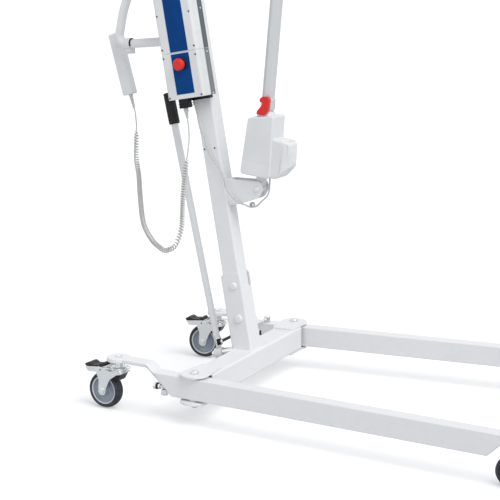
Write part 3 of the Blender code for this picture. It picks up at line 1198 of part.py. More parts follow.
def make_cords(relief_ends, plug_end, cable_start, cable_end):
    """The handset's cord in three stretches and the actuator's cable."""
    curl, curl_length = curled(CURL_ROUTE, CURL_COUNT, CURL_RADIUS, CURL_WIRE)
    gap = least_gap(curl, CURL_WIRE, CURL_POINTS)
    print(f"curly cord: {CURL_COUNT} curls along {curl_length:.3f} m, least gap to itself {gap * 1000:.2f} mm")
    sub_part("handset_curly_cord", tube("handset_curly_cord", curl, CURL_WIRE, 1), CORD_GREY, ROOT)
    toward = Vector(curl[0] - curl[1]).normalized()
    away = Vector(curl[-1] - curl[-2]).normalized()
    meet = Vector(curl[0]) + toward * SEAT
    leave = Vector(curl[-1]) + away * SEAT
    lead_route = [*map(tuple, relief_ends), tuple(meet + toward * CORD_STRAIGHT), tuple(meet)]
    plug_route = [tuple(leave), tuple(leave + away * CORD_STRAIGHT), *PLUG_ROUTE, tuple(plug_end)]
    cable_route = [tuple(cable_start), *CABLE_ROUTE, tuple(cable_end)]
    for name, route, radius in (("handset_lead", lead_route, LEAD_RADIUS),
                                ("plug_lead", plug_route, LEAD_RADIUS),
                                ("actuator_cable", cable_route, CABLE_RADIUS)):
        points, length = smooth_route(route, radius * 6)
        print(f"{name}: {length:.3f} m")
        sub_part(name, tube(name, points, radius, 2), CORD_GREY, ROOT)


def centre_lift():
    """Shift the whole lift so that its box, without the cords, is centred on the origin."""
    bpy.context.view_layer.update()
    depsgraph = bpy.context.evaluated_depsgraph_get()
    cords = ("handset_lead", "handset_curly_cord", "plug_lead", "actuator_cable", "handset_plug",
             "actuator_plug", "handset_relief")
    corners = []
    for piece in LIFT.objects:
        if piece.type == "MESH" and piece.name not in cords:
            mesh = piece.evaluated_get(depsgraph).to_mesh()
            points = np.empty(len(mesh.vertices) * 3, dtype=np.float32)
            mesh.vertices.foreach_get("co", points)
            turn = np.array(piece.matrix_world)
            corners.append(points.reshape(-1, 3) @ turn[:3, :3].T + turn[:3, 3])
    corners = np.vstack(corners)
    low, high = corners.min(axis=0), corners.max(axis=0)
    ROOT.location = (-(low[0] + high[0]) / 2, -(low[1] + high[1]) / 2, 0)
    print("shift", [round(v, 6) for v in ROOT.location], "size", np.round(high - low, 4), "floor", round(low[2], 6))


for item in list(bpy.data.objects):
    bpy.data.objects.remove(item, do_unlink=True)
LIFT = new_collection("patient lift")
SHAPES = new_collection("cutters and welded shapes")
ROOT = frame_at("lift", None, (0, 0, 0))

make_cross_beam()
LEG_RIGHT = make_leg("right", -1)
LEG_LEFT = make_leg("left", 1)
for leg_side, leg_sign, leg_frame in (("right", -1, LEG_RIGHT), ("left", 1, LEG_LEFT)):
    make_pivot_bolt(leg_side, leg_sign)
    make_leg_stop(leg_side, leg_sign, leg_frame)
    make_rear_caster(leg_side, leg_frame)
    make_front_caster(leg_side, leg_frame)
MAST = frame_at("mast axis", ROOT, (0, MAST_Y, BEAM_TOP + SEAT), (-MAST_LEAN, 0, 0))
make_mast_foot(MAST)
make_mast(MAST)
BOOM = make_boom(place(MAST, make_mast_head(MAST)))
make_spreader(BOOM)
make_handle()
make_control_box(MAST)
PLUG_END, CABLE_START = make_sockets(MAST)
CABLE_END = make_actuator()
make_lever()
RELIEF_ENDS = make_handset()
make_cords(RELIEF_ENDS, PLUG_END, CABLE_START, CABLE_END)
centre_lift()
for helper in SHAPES.objects:
    helper.hide_render = True
    helper.display_type = "WIRE"
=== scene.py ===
"""Looks of the electric patient lift: its pieces, finishes, cords and stage, laid out as an add-on.

Metres, +Z up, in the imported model's own frame. The legs open towards -Y, the push handle is at +Y and
the control box is on the -X side.
"""
import json
from math import atan2, ceil, cos, degrees, hypot, pi, radians, sin, sqrt, tan

import bmesh
import bpy
from bpy.props import FloatProperty, FloatVectorProperty, IntProperty, PointerProperty
from bpy.types import Operator, Panel, PropertyGroup
from mathutils import Matrix, Vector


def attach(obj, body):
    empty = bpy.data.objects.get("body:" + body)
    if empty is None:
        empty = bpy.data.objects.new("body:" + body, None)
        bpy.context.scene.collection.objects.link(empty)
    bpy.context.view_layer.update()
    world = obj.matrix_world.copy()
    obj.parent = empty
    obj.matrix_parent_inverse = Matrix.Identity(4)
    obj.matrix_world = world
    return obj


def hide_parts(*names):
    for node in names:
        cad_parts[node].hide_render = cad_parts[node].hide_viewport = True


bl_info = {"name": "Patient lift looks", "version": (1, 0, 0), "blender": (4, 5, 0),
    "location": "View3D > Sidebar > Patient Lift",
    "description": "Models the visible pieces of an electric patient lift round its packed frame",
    "category": "Object",}

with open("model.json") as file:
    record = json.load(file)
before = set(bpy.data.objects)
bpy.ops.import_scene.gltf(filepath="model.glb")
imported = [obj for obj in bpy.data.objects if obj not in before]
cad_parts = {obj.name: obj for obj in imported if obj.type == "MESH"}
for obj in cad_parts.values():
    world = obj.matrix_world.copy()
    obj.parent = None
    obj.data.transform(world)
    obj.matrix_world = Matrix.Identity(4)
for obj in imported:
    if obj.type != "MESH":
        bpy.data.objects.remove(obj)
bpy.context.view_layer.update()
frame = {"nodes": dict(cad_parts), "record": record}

# The lift's own values, as its source has them
SHIFT_Y = 0.239806
SEAT = 0.0003
PIVOT_X = 0.305
LEG_SPREAD = radians(4.73)
LEG_BOTTOM, LEG_TOP = 0.07, 0.128
NOSE_CUT_START, NOSE_BOTTOM, NOSE_REACH = 0.825, 0.106, 0.905
TAIL_REACH, TAIL_TOP, TAIL_THICK, TAIL_HEEL, TAIL_KNEE = 0.244, 0.1475, 0.011, 0.062, 0.134
PAD_RADIUS = 0.032
EAR_THICK, EAR_RADIUS, EAR_INBOARD = 0.006, 0.038, 0.215
BEAM_FRONT, BEAM_REAR, BEAM_HALF, BEAM_WALL = -0.038, 0.03, 0.276, 0.004
BEAM_TOP, BEAM_BOTTOM = 0.1325, 0.0655
MAST_Y, MAST_LEAN = 0.0023, radians(9.9)
MAST_SIDE, MAST_WALL, MAST_START, MAST_LENGTH = 0.052, 0.0025, 0.005, 1.215
FOOT_SIDE, FOOT_CHEEK, FOOT_PLATE = 0.062, 0.213, 0.17
FOOT_BOLT_W = -0.006
HINGE_W, HINGE_HIGH = -0.0093, MAST_START + MAST_LENGTH + SEAT + 0.0647
REAR_HIGH, REAR_TRAIL, FORK_GAP, CROWN_TOP = 0.05, 0.044, 0.036, 0.108
PEDAL_Y, PEDAL_HIGH = 0.031, 0.113
FRONT_HIGH, FRONT_TRAIL, FRONT_GAP, FRONT_CROWN = 0.0375, 0.026, 0.03, 0.0825
LEVER_LEAN, LEVER_TILT = radians(15.2), radians(5.04)
BOX_NEAR, BOX_FAR, BOX_REAR, BOX_FRONT = -0.098, -0.0575, 0.0658, -0.046
CONTROL_FROM, CONTROL_TO, BATTERY_FROM, BATTERY_TO = 0.708, 0.83, 0.8325, 1.066
STOP_W, STOP_T = 0.0065, 0.8
BOOM_RISE, BOOM_LENGTH = radians(15), 0.86
LIFT_REACH, LIFT_DROP = 0.33, 0.05
SWIVEL_DROP = 0.11
SPREADER_HALF, SPREADER_DROP = 0.2, 0.035
TUBE_TO = 0.55
GRIP_FROM, GRIP_TO = 0.655, 0.744
HANDSET_LEAN = radians(15.65)

SIDES = {"right": -1, "left": 1}


def at(x, y, z, turn=0.0, axis="X"):
    """A move with an optional turn, as one matrix."""
    return Matrix.Translation((x, y, z)) @ Matrix.Rotation(turn, 4, axis)


TO_RIGHT, TO_LEFT = Matrix.Rotation(pi / 2, 4, "Y"), Matrix.Rotation(-pi / 2, 4, "Y")
TO_REAR = Matrix.Rotation(-pi / 2, 4, "X")
LIFT = at(0, SHIFT_Y, 0)
LEG = {s: LIFT @ at(k * PIVOT_X, 0, 0, k * LEG_SPREAD, "Z") for s, k in SIDES.items()}
REAR_SWIVEL = {s: LEG[s] @ at(0, TAIL_REACH, 0) for s in SIDES}
REAR_AXLE = {s: REAR_SWIVEL[s] @ at(0, REAR_TRAIL, REAR_HIGH, pi / 2, "Y") for s in SIDES}
PEDAL = {s: REAR_SWIVEL[s] @ at(0, PEDAL_Y, PEDAL_HIGH) for s in SIDES}
FRONT_SWIVEL = {s: LEG[s] @ at(0, -NOSE_REACH, 0) for s in SIDES}
FRONT_AXLE = {s: FRONT_SWIVEL[s] @ at(0, FRONT_TRAIL, FRONT_HIGH, pi / 2, "Y") for s in SIDES}
MAST = LIFT @ at(0, MAST_Y, BEAM_TOP + SEAT, -MAST_LEAN)
BOOM = Matrix.Translation((MAST @ Vector((0, HINGE_W, HINGE_HIGH)))) @ Matrix.Rotation(-BOOM_RISE, 4, "X")
SWING = Matrix.Translation(BOOM @ Vector((0, -BOOM_LENGTH, 0)))
SWIVEL = SWING @ at(0, 0, -SWIVEL_DROP)
STOP = MAST @ at(BOX_NEAR - 0.003, STOP_W, STOP_T)
LIFT_EYE = BOOM @ Vector((0, -LIFT_REACH, -LIFT_DROP))
PIN = Vector((0, SHIFT_Y - 0.041, 0.585))
ACTUATOR = Matrix.Translation(PIN) @ Matrix.Rotation(atan2(PIN.y - LIFT_EYE.y, LIFT_EYE.z - PIN.z), 4, "X")
STROKE = (LIFT_EYE - PIN).length
LEVER_Y, LEVER_HIGH = 0.087, 0.107
LEVER = LIFT @ at(0, LEVER_Y, LEVER_HIGH, -LEVER_LEAN) @ Matrix.Rotation(LEVER_TILT, 4, "Y")
HANDSET = LIFT @ at(0.0315, 0.385, 0.8165, -HANDSET_LEAN)

# The photograph's camera, solved from the lift's own sizes
CAMERA_PLACE = (-3.586, -1.5773, 1.2444)
CAMERA_LENS, CAMERA_DOWN, CAMERA_WAY = 107.65, radians(11.73), radians(26.77)


def size(name, description, value, low, high):
    """A length property."""
    return FloatProperty(name=name, description=description, default=value, min=low, max=high,
        unit="LENGTH")


def number(name, description, value, low, high):
    """A whole-number property."""
    return IntProperty(name=name, description=description, default=value, min=low, max=high)


class LiftSizes(PropertyGroup):
    """Sizes that someone restyling the lift would change."""
    paint_edge: size("Tube corner", "Corner radius of the painted square tubes", 0.0045, 0.001, 0.006)
    plate_edge: size("Plate edge", "Rounding of painted and zinc plate edges", 0.0009, 0.0002, 0.002)
    weld_bead: size("Weld bead", "Radius of the weld beads under the paint", 0.0019, 0.0005, 0.003)
    leg_width: size("Leg width", "Width of the legs' rectangular tube", 0.041, 0.03, 0.041)
    rear_wheel: size("Rear wheel", "Radius of the rear tyres", 0.05, 0.03, 0.05)
    rear_width: size("Rear tyre width", "Width of the rear tyres", 0.032, 0.02, 0.032)
    front_wheel: size("Front wheel", "Radius of the front rollers", 0.0375, 0.02, 0.0375)
    handle_tube: size("Handle tube", "Radius of the push handle's tube", 0.0125, 0.008, 0.0125)
    box_corner: size("Box corner", "Corner radius of the control box", 0.007, 0.002, 0.01)
    stop_cap: size("Stop button", "Radius of the stop button's cap", 0.0165, 0.01, 0.0165)
    actuator_tube: size("Actuator tube", "Radius of the actuator's outer tube", 0.017, 0.012, 0.017)
    actuator_rod: size("Actuator rod", "Radius of the actuator's sliding rod", 0.01, 0.006, 0.01)
    curl_radius: size("Curl radius", "Radius of the curly cord's turns, at the middle of its wire", 0.0058,
        0.004, 0.007)
    curl_wire: size("Cord radius", "Radius of the handset's cord", 0.0018, 0.001, 0.0022)
    cable_wire: size("Cable radius", "Radius of the actuator's cable", 0.0023, 0.001, 0.0027)
    curls: number("Curls", "Number of turns in the curly cord", 104, 40, 120)
    grip_ribs: number("Grip ribs", "Number of long ribs round the lever's grip", 14, 6, 24)


def colour(name, description, value):
    """A colour property, linear, as the shader reads it."""
    return FloatVectorProperty(name=name, description=description, subtype="COLOR", size=3, min=0, max=1,
        default=value)


class LiftColours(PropertyGroup):
    """Colours of the lift's finishes."""
    paint: colour("Paint", "Powder coat on the tubes and plates", (0.785, 0.79, 0.797))
    housing: colour("Housing", "Moulded housings of the actuator, box and handset", (0.75, 0.755, 0.76))
    label: colour("Label", "Printed film on the control box", (0.0, 0.05, 0.215))
    label_edge: colour("Label edge", "Thin light edge of the label", (0.55, 0.68, 0.8))
    red: colour("Red", "Stop button and quick-release catch", (0.745, 0.022, 0.014))
    # Black also paints shade: the ring under the stop button and the band inside the handset's hook are
    # painted shadow
    black: colour("Black", "Grip, sockets and tie rods", (0.012, 0.012, 0.014))
    slate: colour("Slate", "Rail behind the box", (0.082, 0.105, 0.13))
    rail_low: colour("Rail, lower part", "Cover of the rail beside the control unit", (0.185, 0.2, 0.22))
    tube: colour("Actuator tube", "Grey outer tube of the actuator", (0.64, 0.65, 0.66))
    eye: colour("Actuator eye", "Moulded lower eye of the actuator", (0.7, 0.71, 0.72))
    tyre: colour("Tyre", "Rubber of the wheels", (0.03, 0.032, 0.044))
    rim: colour("Rim", "Moulded wheel centres", (0.28, 0.32, 0.385))
    zinc: colour("Zinc", "Bright zinc plating", (0.8, 0.825, 0.825))
    steel: colour("Steel", "Bright bolts, pins and the actuator's rod", (0.74, 0.745, 0.75))
    cord: colour("Cord", "Sheath of the cords and their plugs", (0.56, 0.56, 0.535))
    pedal: colour("Pedal", "Rubber of the brake pedals", (0.02, 0.021, 0.023))


# Modelling by hand

def deselect():
    """Leave edit mode and select nothing."""
    if bpy.context.mode != "OBJECT":
        bpy.ops.object.mode_set(mode="OBJECT")
    bpy.ops.object.select_all(action="DESELECT")


def pick(piece):
    """Select one piece and make it active."""
    deselect()
    piece.select_set(True)
    bpy.context.view_layer.objects.active = piece
    return piece


def outwards(doubles=0.0):
    """In edit mode: merge points nearer than doubles, turn the faces outwards and leave edit mode."""
    bpy.ops.mesh.select_all(action="SELECT")
    if doubles:
        bpy.ops.mesh.remove_doubles(threshold=doubles)
    bpy.ops.mesh.normals_make_consistent(inside=False)
    bpy.ops.object.mode_set(mode="OBJECT")
    return bpy.context.object


def tidy(piece):
    """Merge doubled points and turn the faces outwards."""
    pick(piece)
    bpy.ops.object.mode_set(mode="EDIT")
    return outwards(1e-6)


def choose_faces(piece, test):
    """Enter edit mode with the faces selected that pass a test of centre and normal."""
    pick(piece)
    bpy.ops.object.mode_set(mode="EDIT")
    bpy.ops.mesh.select_mode(type="FACE")
    bpy.ops.mesh.select_all(action="DESELECT")
    bm = bmesh.from_edit_mesh(piece.data)
    for face in bm.faces:
        face.select_set(bool(test(face.calc_center_median(), face.normal)))
    bmesh.update_edit_mesh(piece.data)


def leave():
    """Back to object mode, with vertex selection for the next piece."""
    bpy.ops.mesh.select_mode(type="VERT")
    bpy.ops.object.mode_set(mode="OBJECT")


def rounding(before, point, after, radius):
    """Centre of a corner's rounding, with its first and last spokes."""
    back, on = (before - point).normalized(), (after - point).normalized()
    half = back.angle(on) / 2
    centre = point + (back + on).normalized() * (radius / sin(half))
    reach = radius / tan(half)
    return centre, point + back * reach - centre, point + on * reach - centre


def rounded(corners, closed=True, fine=12.0):
    """Points of an outline from (u, v, radius) corners, each rounded in steps of about fine degrees."""
    points, count = [], len(corners)
    for i, corner in enumerate(corners):
        u, v, radius = (*corner, 0.0)[:3]
        point = Vector((u, v))
        if radius == 0 or (not closed and i in (0, count - 1)):
            points.append(point)
            continue
        centre, first, last = rounding(Vector(corners[i - 1][:2]), point,
            Vector(corners[(i + 1) % count][:2]), radius)
        sweep = first.angle_signed(last)
        parts = max(2, ceil(abs(degrees(sweep)) / fine))
        points += [centre + Matrix.Rotation(-sweep * k / parts, 2) @ first for k in range(parts + 1)]
    return points


def bend(points, radii, fine=8.0):
    """A path through points whose inner corners are rounded to radii."""
    points = [Vector(p) for p in points]
    path = [points[0]]
    for before, point, after, radius in zip(points, points[1:], points[2:], radii):
        centre, first, last = rounding(before, point, after, radius)
        axis, sweep = first.cross(last), first.angle(last)
        steps = max(3, ceil(degrees(sweep) / fine))
        path += [centre + Matrix.Rotation(sweep * k / steps, 3, axis) @ first for k in range(steps + 1)]
    return [*path, points[-1]]


def mm(*points, up=0.0):
    """Points given in millimetres, in metres, with their second measure raised by up."""
    return [(u / 1000, up + v / 1000, *[n / 1000 for n in rest]) for u, v, *rest in points]


def oblong(left, low, right, high, corner=0.0, fine=12.0):
    """Points of a rectangle with rounded corners."""
    return rounded([(left, low, corner), (right, low, corner), (right, high, corner), (left, high, corner)],
        fine=fine)


def paired(half):
    """A profile's lower or upper half, followed by its mirror image."""
    return half + [(r, -z, *c) for r, z, *c in reversed(half)]


def ring(radius, steps=48, start=0.0, sweep=2 * pi):
    """Points of a circle about the origin, or of an arc of it."""
    count = steps if sweep == 2 * pi else steps + 1
    return [Vector((radius * cos(start + sweep * k / steps), radius * sin(start + sweep * k / steps)))
        for k in range(count)]


def hexagon(across):
    """Points of a hexagon of a width across its flats."""
    return ring(across / sqrt(3), 6)


TO_SPACE = {"XY": lambda u, v, w: Vector((u, v, w)), "YZ": lambda u, v, w: Vector((w, u, v)),
    "XZ": lambda u, v, w: Vector((u, w, v))}
RISE = {"XY": Vector((0, 0, 1)), "YZ": Vector((1, 0, 0)), "XZ": Vector((0, 1, 0))}


def drawn(points):
    """A chain of edges through points, drawn from one vertex by extruding it."""
    deselect()
    bpy.ops.mesh.primitive_plane_add(size=0.01, location=(0, 0, 0))
    bpy.ops.object.mode_set(mode="EDIT")
    bpy.ops.mesh.select_mode(type="VERT")
    bpy.ops.mesh.merge(type="CENTER")
    bpy.ops.transform.translate(value=points[0])
    for here, there in zip(points, points[1:]):
        bpy.ops.mesh.extrude_vertices_move(TRANSFORM_OT_translate={"value": there - here})
    return bpy.context.object


def slab(outline, plane, low, high, fine=12.0):
    """A flat outline of (u, v) points or (u, v, radius) corners, filled and extruded between two heights."""
    flat = outline if isinstance(outline[0], Vector) else rounded(outline, fine=fine)
    piece = drawn([TO_SPACE[plane](p[0], p[1], low) for p in flat])
    bm = bmesh.from_edit_mesh(piece.data)
    bm.verts.ensure_lookup_table()
    bm.verts[0].select_set(True)
    bmesh.update_edit_mesh(piece.data)
    bpy.ops.mesh.edge_face_add()
    bpy.ops.mesh.select_all(action="SELECT")
    bpy.ops.mesh.edge_face_add()
    bpy.ops.mesh.extrude_region_move(TRANSFORM_OT_translate={"value": RISE[plane] * (high - low)})
    return outwards()


def turned(profile, steps=48, place=None, closed=False, fine=15.0):
    """A piece spun about Z from its (radius, height, corner radius) profile."""
    points = rounded(profile, closed, fine)
    if closed:
        points.append(points[0])
    drawn([Vector((p[0], 0, p[1])) for p in points])
    bpy.ops.mesh.select_all(action="SELECT")
    bpy.ops.mesh.spin(steps=steps, angle=2 * pi, center=(0, 0, 0), axis=(0, 0, 1))
    piece = outwards(2e-6)
    return piece if place is None else placed(piece, place)


def facing(place, way):
    """A matrix at a place whose Z looks along way."""
    turn = Vector((0, 0, 1)).rotation_difference(Vector(way)).to_matrix().to_4x4()
    return Matrix.Translation(Vector(place)) @ turn


def stick(start, end, radius, end_radius=None, steps=32):
    """A cylinder or cone between two points, as a start for a piece or a cutter."""
    start, end = Vector(start), Vector(end)
    deselect()
    bpy.ops.mesh.primitive_cone_add(vertices=steps, radius1=radius, radius2=radius if end_radius is None
        else end_radius, depth=(end - start).length, end_fill_type="NGON")
    return placed(bpy.context.object, facing((start + end) / 2, end - start))


def drill(y, z, radius, steps=32):
    """A cutter along X through a point."""
    return stick((-0.05, y, z), (0.05, y, z), radius, steps=steps)


def block(low, high):
    """A box between two corners, as a start for a piece or a cutter."""
    low, high = Vector(low), Vector(high)
    deselect()
    bpy.ops.mesh.primitive_cube_add(size=1.0)
    return placed(bpy.context.object, Matrix.Translation((low + high) / 2)
        @ Matrix.Diagonal((*(high - low), 1.0)))


def piped(points, radius, sides=6, widths=None, closed=False):
    """A round tube along points, with closed ends. widths scale its radius at each point."""
    deselect()
    bpy.ops.curve.primitive_nurbs_path_add()
    curve = bpy.context.object.data
    curve.splines.clear()
    curve.dimensions = "3D"
    curve.bevel_depth = radius
    curve.bevel_resolution = sides
    curve.use_fill_caps = True
    line = curve.splines.new("POLY")
    line.points.add(len(points) - 1)
    line.use_cyclic_u = closed
    for i, (point, place) in enumerate(zip(line.points, points)):
        point.co = (*place, 1.0)
        point.radius = 1.0 if widths is None else widths[i]
    return bpy.context.object


def pipe(points, radius, sides=6, widths=None, closed=False):
    """A round tube along points, as a mesh with merged points."""
    pick(piped(points, radius, sides, widths, closed))
    bpy.ops.object.convert(target="MESH")
    return tidy(bpy.context.object)


def placed(piece, matrix):
    """Move a piece, with the move taken into its mesh."""
    pick(piece)
    piece.matrix_world = matrix
    bpy.ops.object.transform_apply(location=True, rotation=True, scale=True)
    return piece


def copied(piece, matrix=None):
    """A copy with its own mesh, optionally moved."""
    twin = piece.copy()
    twin.data = piece.data.copy()
    bpy.context.scene.collection.objects.link(twin)
    return twin if matrix is None else placed(twin, matrix)


def removed(*pieces):
    """Take pieces out of the file."""
    for piece in pieces:
        bpy.data.objects.remove(piece, do_unlink=True)


def applied(piece, kind, **settings):
    """Add a modifier, set it and apply it."""
    pick(piece)
    step = piece.modifiers.new(kind.title(), kind)
    for key, value in settings.items():
        setattr(step, key, value)
    bpy.ops.object.modifier_apply(modifier=step.name)
    return piece


def soften(piece, width, segments=2, angle=40, held=True):
    """Round the sharp edges, held back where they would overlap."""
    return applied(piece, "BEVEL", width=width, segments=segments, limit_method="ANGLE",
        angle_limit=radians(angle), use_clamp_overlap=held, loop_slide=not held)


def combined(piece, tool, operation):
    """Boolean one shape into a piece and remove the shape."""
    applied(piece, "BOOLEAN", operation=operation, solver="EXACT", object=tool)
    removed(tool)
    return piece


def carve(piece, *tools):
    """Cut shapes out of a piece."""
    for tool in tools:
        combined(piece, tool, "DIFFERENCE")
    return piece


def gather(*pieces):
    """Join shapes that touch or overlap into one object, each its own shell."""
    deselect()
    for piece in pieces:
        piece.select_set(True)
    bpy.context.view_layer.objects.active = pieces[0]
    bpy.ops.object.join()
    return bpy.context.object


BEAD_PITCH, BEAD_DEPTH = 0.0035, 0.16
THREAD_PITCH = 0.00125


def bead(points, radius, closed=False):
    """A weld bead along points, with the small ripples of its passes."""
    path, widths, run = [], [], 0.0
    chain = [Vector(p) for p in points] + ([Vector(points[0])] if closed else [])
    for here, there in zip(chain, chain[1:]):
        length = (there - here).length
        count = max(1, round(length / (BEAD_PITCH / 3)))
        for k in range(count):
            path.append(here.lerp(there, k / count))
            widths.append(1 + BEAD_DEPTH * sin(2 * pi * (run + length * k / count) / BEAD_PITCH))
        run += length
    if not closed:
        path.append(chain[-1])
        widths.append(0.7)
        widths[0] = 0.7
    return pipe(path, radius, 2, widths, closed)


def bolt_head(across, height, place, flange=0.0):
    """A hexagon head with its corners turned off, its inner face at z = 0, and an optional flange."""
    reach = across / sqrt(3)
    head = slab(hexagon(across), "XY", 0.0, height)
    cap = turned([(0, -0.001), (reach + 0.001, -0.001), (reach + 0.001, height - 0.0014),
        (across / 2 - 0.0002, height), (0, height)])
    combined(head, cap, "INTERSECT")
    if flange:
        combined(head, turned([(0, 0), (flange, 0), (flange, 0.0008), (reach * 0.9, 0.0024), (0, 0.0024)]),
            "UNION")
    return placed(soften(head, 0.00025, 1, 30), place)


def washer(radius, low, high, inner=0.0, place=None):
    """A flat washer with broken edges between two heights, about Z."""
    return turned([(inner, low), (radius, low, 0.0003), (radius, high, 0.0003), (inner, high)], 48, place,
        inner > 0)


def thread(radius, low, high, place=None, steps=20):
    """Thread crests about Z, drawn as one turning ridge."""
    count = max(2, round((high - low) / THREAD_PITCH))
    points = [Vector((radius * cos(2 * pi * n / steps), radius * sin(2 * pi * n / steps),
        low + THREAD_PITCH * n / steps)) for n in range(count * steps + 1)]
    ridge = pipe(points, THREAD_PITCH * 0.32, 0)
    return ridge if place is None else placed(ridge, place)



def done(name, parts, place, body, finish, *nodes, slot=None, smooth=32.0):
    """Finish a piece: join its parts, place it, shade it smooth, and give it its material, the body that it
    rides on and the nodes that it stands for, which is the one of its own name if none is given."""
    piece = gather(*parts) if isinstance(parts, list) else parts
    if place is not None:
        placed(piece, place)
    piece.name = name
    pick(piece)
    if piece.type == "MESH":
        bpy.ops.object.shade_smooth_by_angle(angle=radians(smooth))
        applied(piece, "WEIGHTED_NORMAL", keep_sharp=True, mode="FACE_AREA", weight=50)
    piece.data.materials.clear()
    piece.data.materials.append(FINISHES[finish])
    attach(piece, body)
    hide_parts(*(nodes or (name,)))
    return piece


def both_sides(name, piece, places, body, finish, node):
    """Copy a piece to the right and the left and finish both copies."""
    for side in SIDES:
        done(f"{name}_{side}", copied(piece, places[side]), None, f"{body}_{side}", finish,
            f"{node}_{side}")
    removed(piece)


# Finishes: shader maths as expressions on sockets

FINISHES = {}


def feed(tree, socket, value):
    """Link a varying value or another socket to a socket, or set it."""
    value = getattr(value, "socket", value)
    if isinstance(value, bpy.types.NodeSocket):
        tree.links.new(value, socket)
    else:
        socket.default_value = value


def add_node(tree, kind, inputs=None, output=0, **settings):
    """Add a shader node with its settings, then the values or links of its sockets."""
    made = tree.nodes.new("ShaderNode" + kind)
    for key, value in settings.items():
        setattr(made, key, value)
    for key, value in (inputs or {}).items():
        feed(tree, made.inputs[key], value)
    return made.outputs[output]


class Varying:
    """A number that changes over a surface. Sums and products with it add Math nodes."""

    def __init__(self, finish, socket):
        self.finish = finish
        self.socket = socket

    def _math(self, operation, first, second, clamp=False):
        return self.finish.node("Math", {0: first, 1: second}, operation=operation, use_clamp=clamp)

    def __add__(self, other):
        return self._math("ADD", self, other)

    def __radd__(self, other):
        return self._math("ADD", other, self)

    def __sub__(self, other):
        return self._math("SUBTRACT", self, other)

    def __rsub__(self, other):
        return self._math("SUBTRACT", other, self)

    def __mul__(self, other):
        return self._math("MULTIPLY", self, other)

    def held(self):
        """Clamped to 0 and 1."""
        return self._math("ADD", self, 0.0, True)

    def between(self, low, high):
        """0 below low, 1 above high and smooth between them."""
        return self.finish.node("MapRange", {"Value": self, "From Min": low, "From Max": high},
            interpolation_type="SMOOTHSTEP")


class Finish:
    """A procedural material under construction."""

    def __init__(self, name, slot, tint, roughness, metallic=0.0, **uniform):
        self.material = bpy.data.materials.new(name)
        self.material.use_nodes = True
        self.tree = self.material.node_tree
        self.shader = self.tree.nodes["Principled BSDF"]
        self.tint = tuple(tint)
        self.set("Base Color", (*self.tint, 1.0))
        self.set("Roughness", roughness)
        self.set("Metallic", metallic)
        for key, value in uniform.items():
            self.set(key.replace("_", " ").title().replace("Ior", "IOR"), value)
        self.material.diffuse_color = (*self.tint, 1.0)
        self.spots = self.node("TexCoord", output="Object")
        FINISHES[name] = self.material

    def node(self, kind, inputs=None, output=0, **settings):
        """Add a node and give its output back as a varying value."""
        return Varying(self, add_node(self.tree, kind, inputs, output, **settings))

    def set(self, name, value):
        """Feed one of the shader's own sockets."""
        feed(self.tree, self.shader.inputs[name], value)

    def stretched(self, scale):
        """Object coordinates, stretched."""
        return self.node("Mapping", {"Vector": self.spots, "Scale": scale})

    def noise(self, scale, detail=2.0, rough=0.5, where=None):
        """Noise from 0 to 1 at so many cells a metre."""
        return self.node("TexNoise", {"Vector": where or self.spots, "Scale": scale, "Detail": detail,
            "Roughness": rough})

    def cells(self, scale, output="Distance"):
        """Voronoi cells."""
        return self.node("TexVoronoi", {"Vector": self.spots, "Scale": scale}, output)

    def height(self):
        """Height above the floor."""
        return self.node("SeparateXYZ", {"Vector": self.spots}, "Z")

    def mixed(self, share, first, second):
        """A colour between two."""
        first, second = [c if isinstance(c, Varying) else (*c, 1.0) for c in (first, second)]
        return self.node("Mix", {0: share, 6: first, 7: second}, 2, data_type="RGBA")

    def tinted(self, share, low, high):
        """Set the colour between two shades of the finish's own."""
        self.set("Base Color", self.mixed(share, self.shaded(low), self.shaded(high)))

    def bumped(self, relief, strength, distance, below=None):
        """Bump from a relief, over an earlier one."""
        inputs = {"Strength": strength, "Distance": distance, "Height": relief}
        if below is not None:
            inputs["Normal"] = below
        bump = self.node("Bump", inputs, "Normal")
        self.set("Normal", bump)
        return bump

    def shaded(self, by):
        """The finish's own colour, darker by a share."""
        return tuple(c * by for c in self.tint)


def powder_coat(name, slot, tint, low_dust):
    """Powder coat: orange peel, a faint drift of shade, hairline scuffs and, low down, floor dust."""
    coat = Finish(name, slot, tint, 0.4, coat_weight=0.12, coat_roughness=0.22)
    drift = coat.noise(5, 3)
    speck = coat.noise(900, 1)
    scuffs = coat.noise(60, 4, 0.75, coat.stretched((1.0, 6.0, 1.0))).between(0.68, 0.74)
    shade = (drift * 0.7 + speck * 0.3).between(0.25, 0.75)
    body = coat.mixed(shade, coat.shaded(0.985), coat.shaded(1.01))
    worn = scuffs * coat.noise(7).between(0.52, 0.72)
    if low_dust:
        dust = (1.0 - coat.height().between(0.02, 0.16)) * coat.noise(38, 4, 0.7).between(0.42, 0.72)
        body = coat.mixed(dust * 0.1, body, (0.46, 0.45, 0.43))
        worn = worn + dust * 0.4
    coat.set("Base Color", coat.mixed(worn * 0.22, body, (0.6, 0.6, 0.59)))
    coat.set("Roughness", 0.36 + drift * 0.08 + worn * 0.25)
    peel = coat.bumped(coat.noise(520, 2, 0.55), 0.1, 0.0006)
    coat.bumped(coat.noise(150, 1), 0.05, 0.001, peel)
    return coat


def moulded(name, slot, tint, roughness, grain=2300, shine=0.5):
    """Moulded plastic: spark-eroded grain, a faint flow of shade and rubbed patches."""
    part = Finish(name, slot, tint, roughness, specular_ior_level=shine)
    flow = part.noise(11)
    grainy = part.noise(grain, 2.0, 0.6)
    rubbed = part.noise(24, 4, 0.7).between(0.55, 0.75) * 0.5
    part.tinted((flow * 0.8 + grainy * 0.2).between(0.3, 0.7), 0.955, 1.03)
    part.set("Roughness", roughness + grainy * 0.1 - 0.05 + rubbed * 0.1)
    part.bumped(grainy, 0.16, 0.00025, part.bumped(part.cells(grain * 0.45), 0.06, 0.0003))


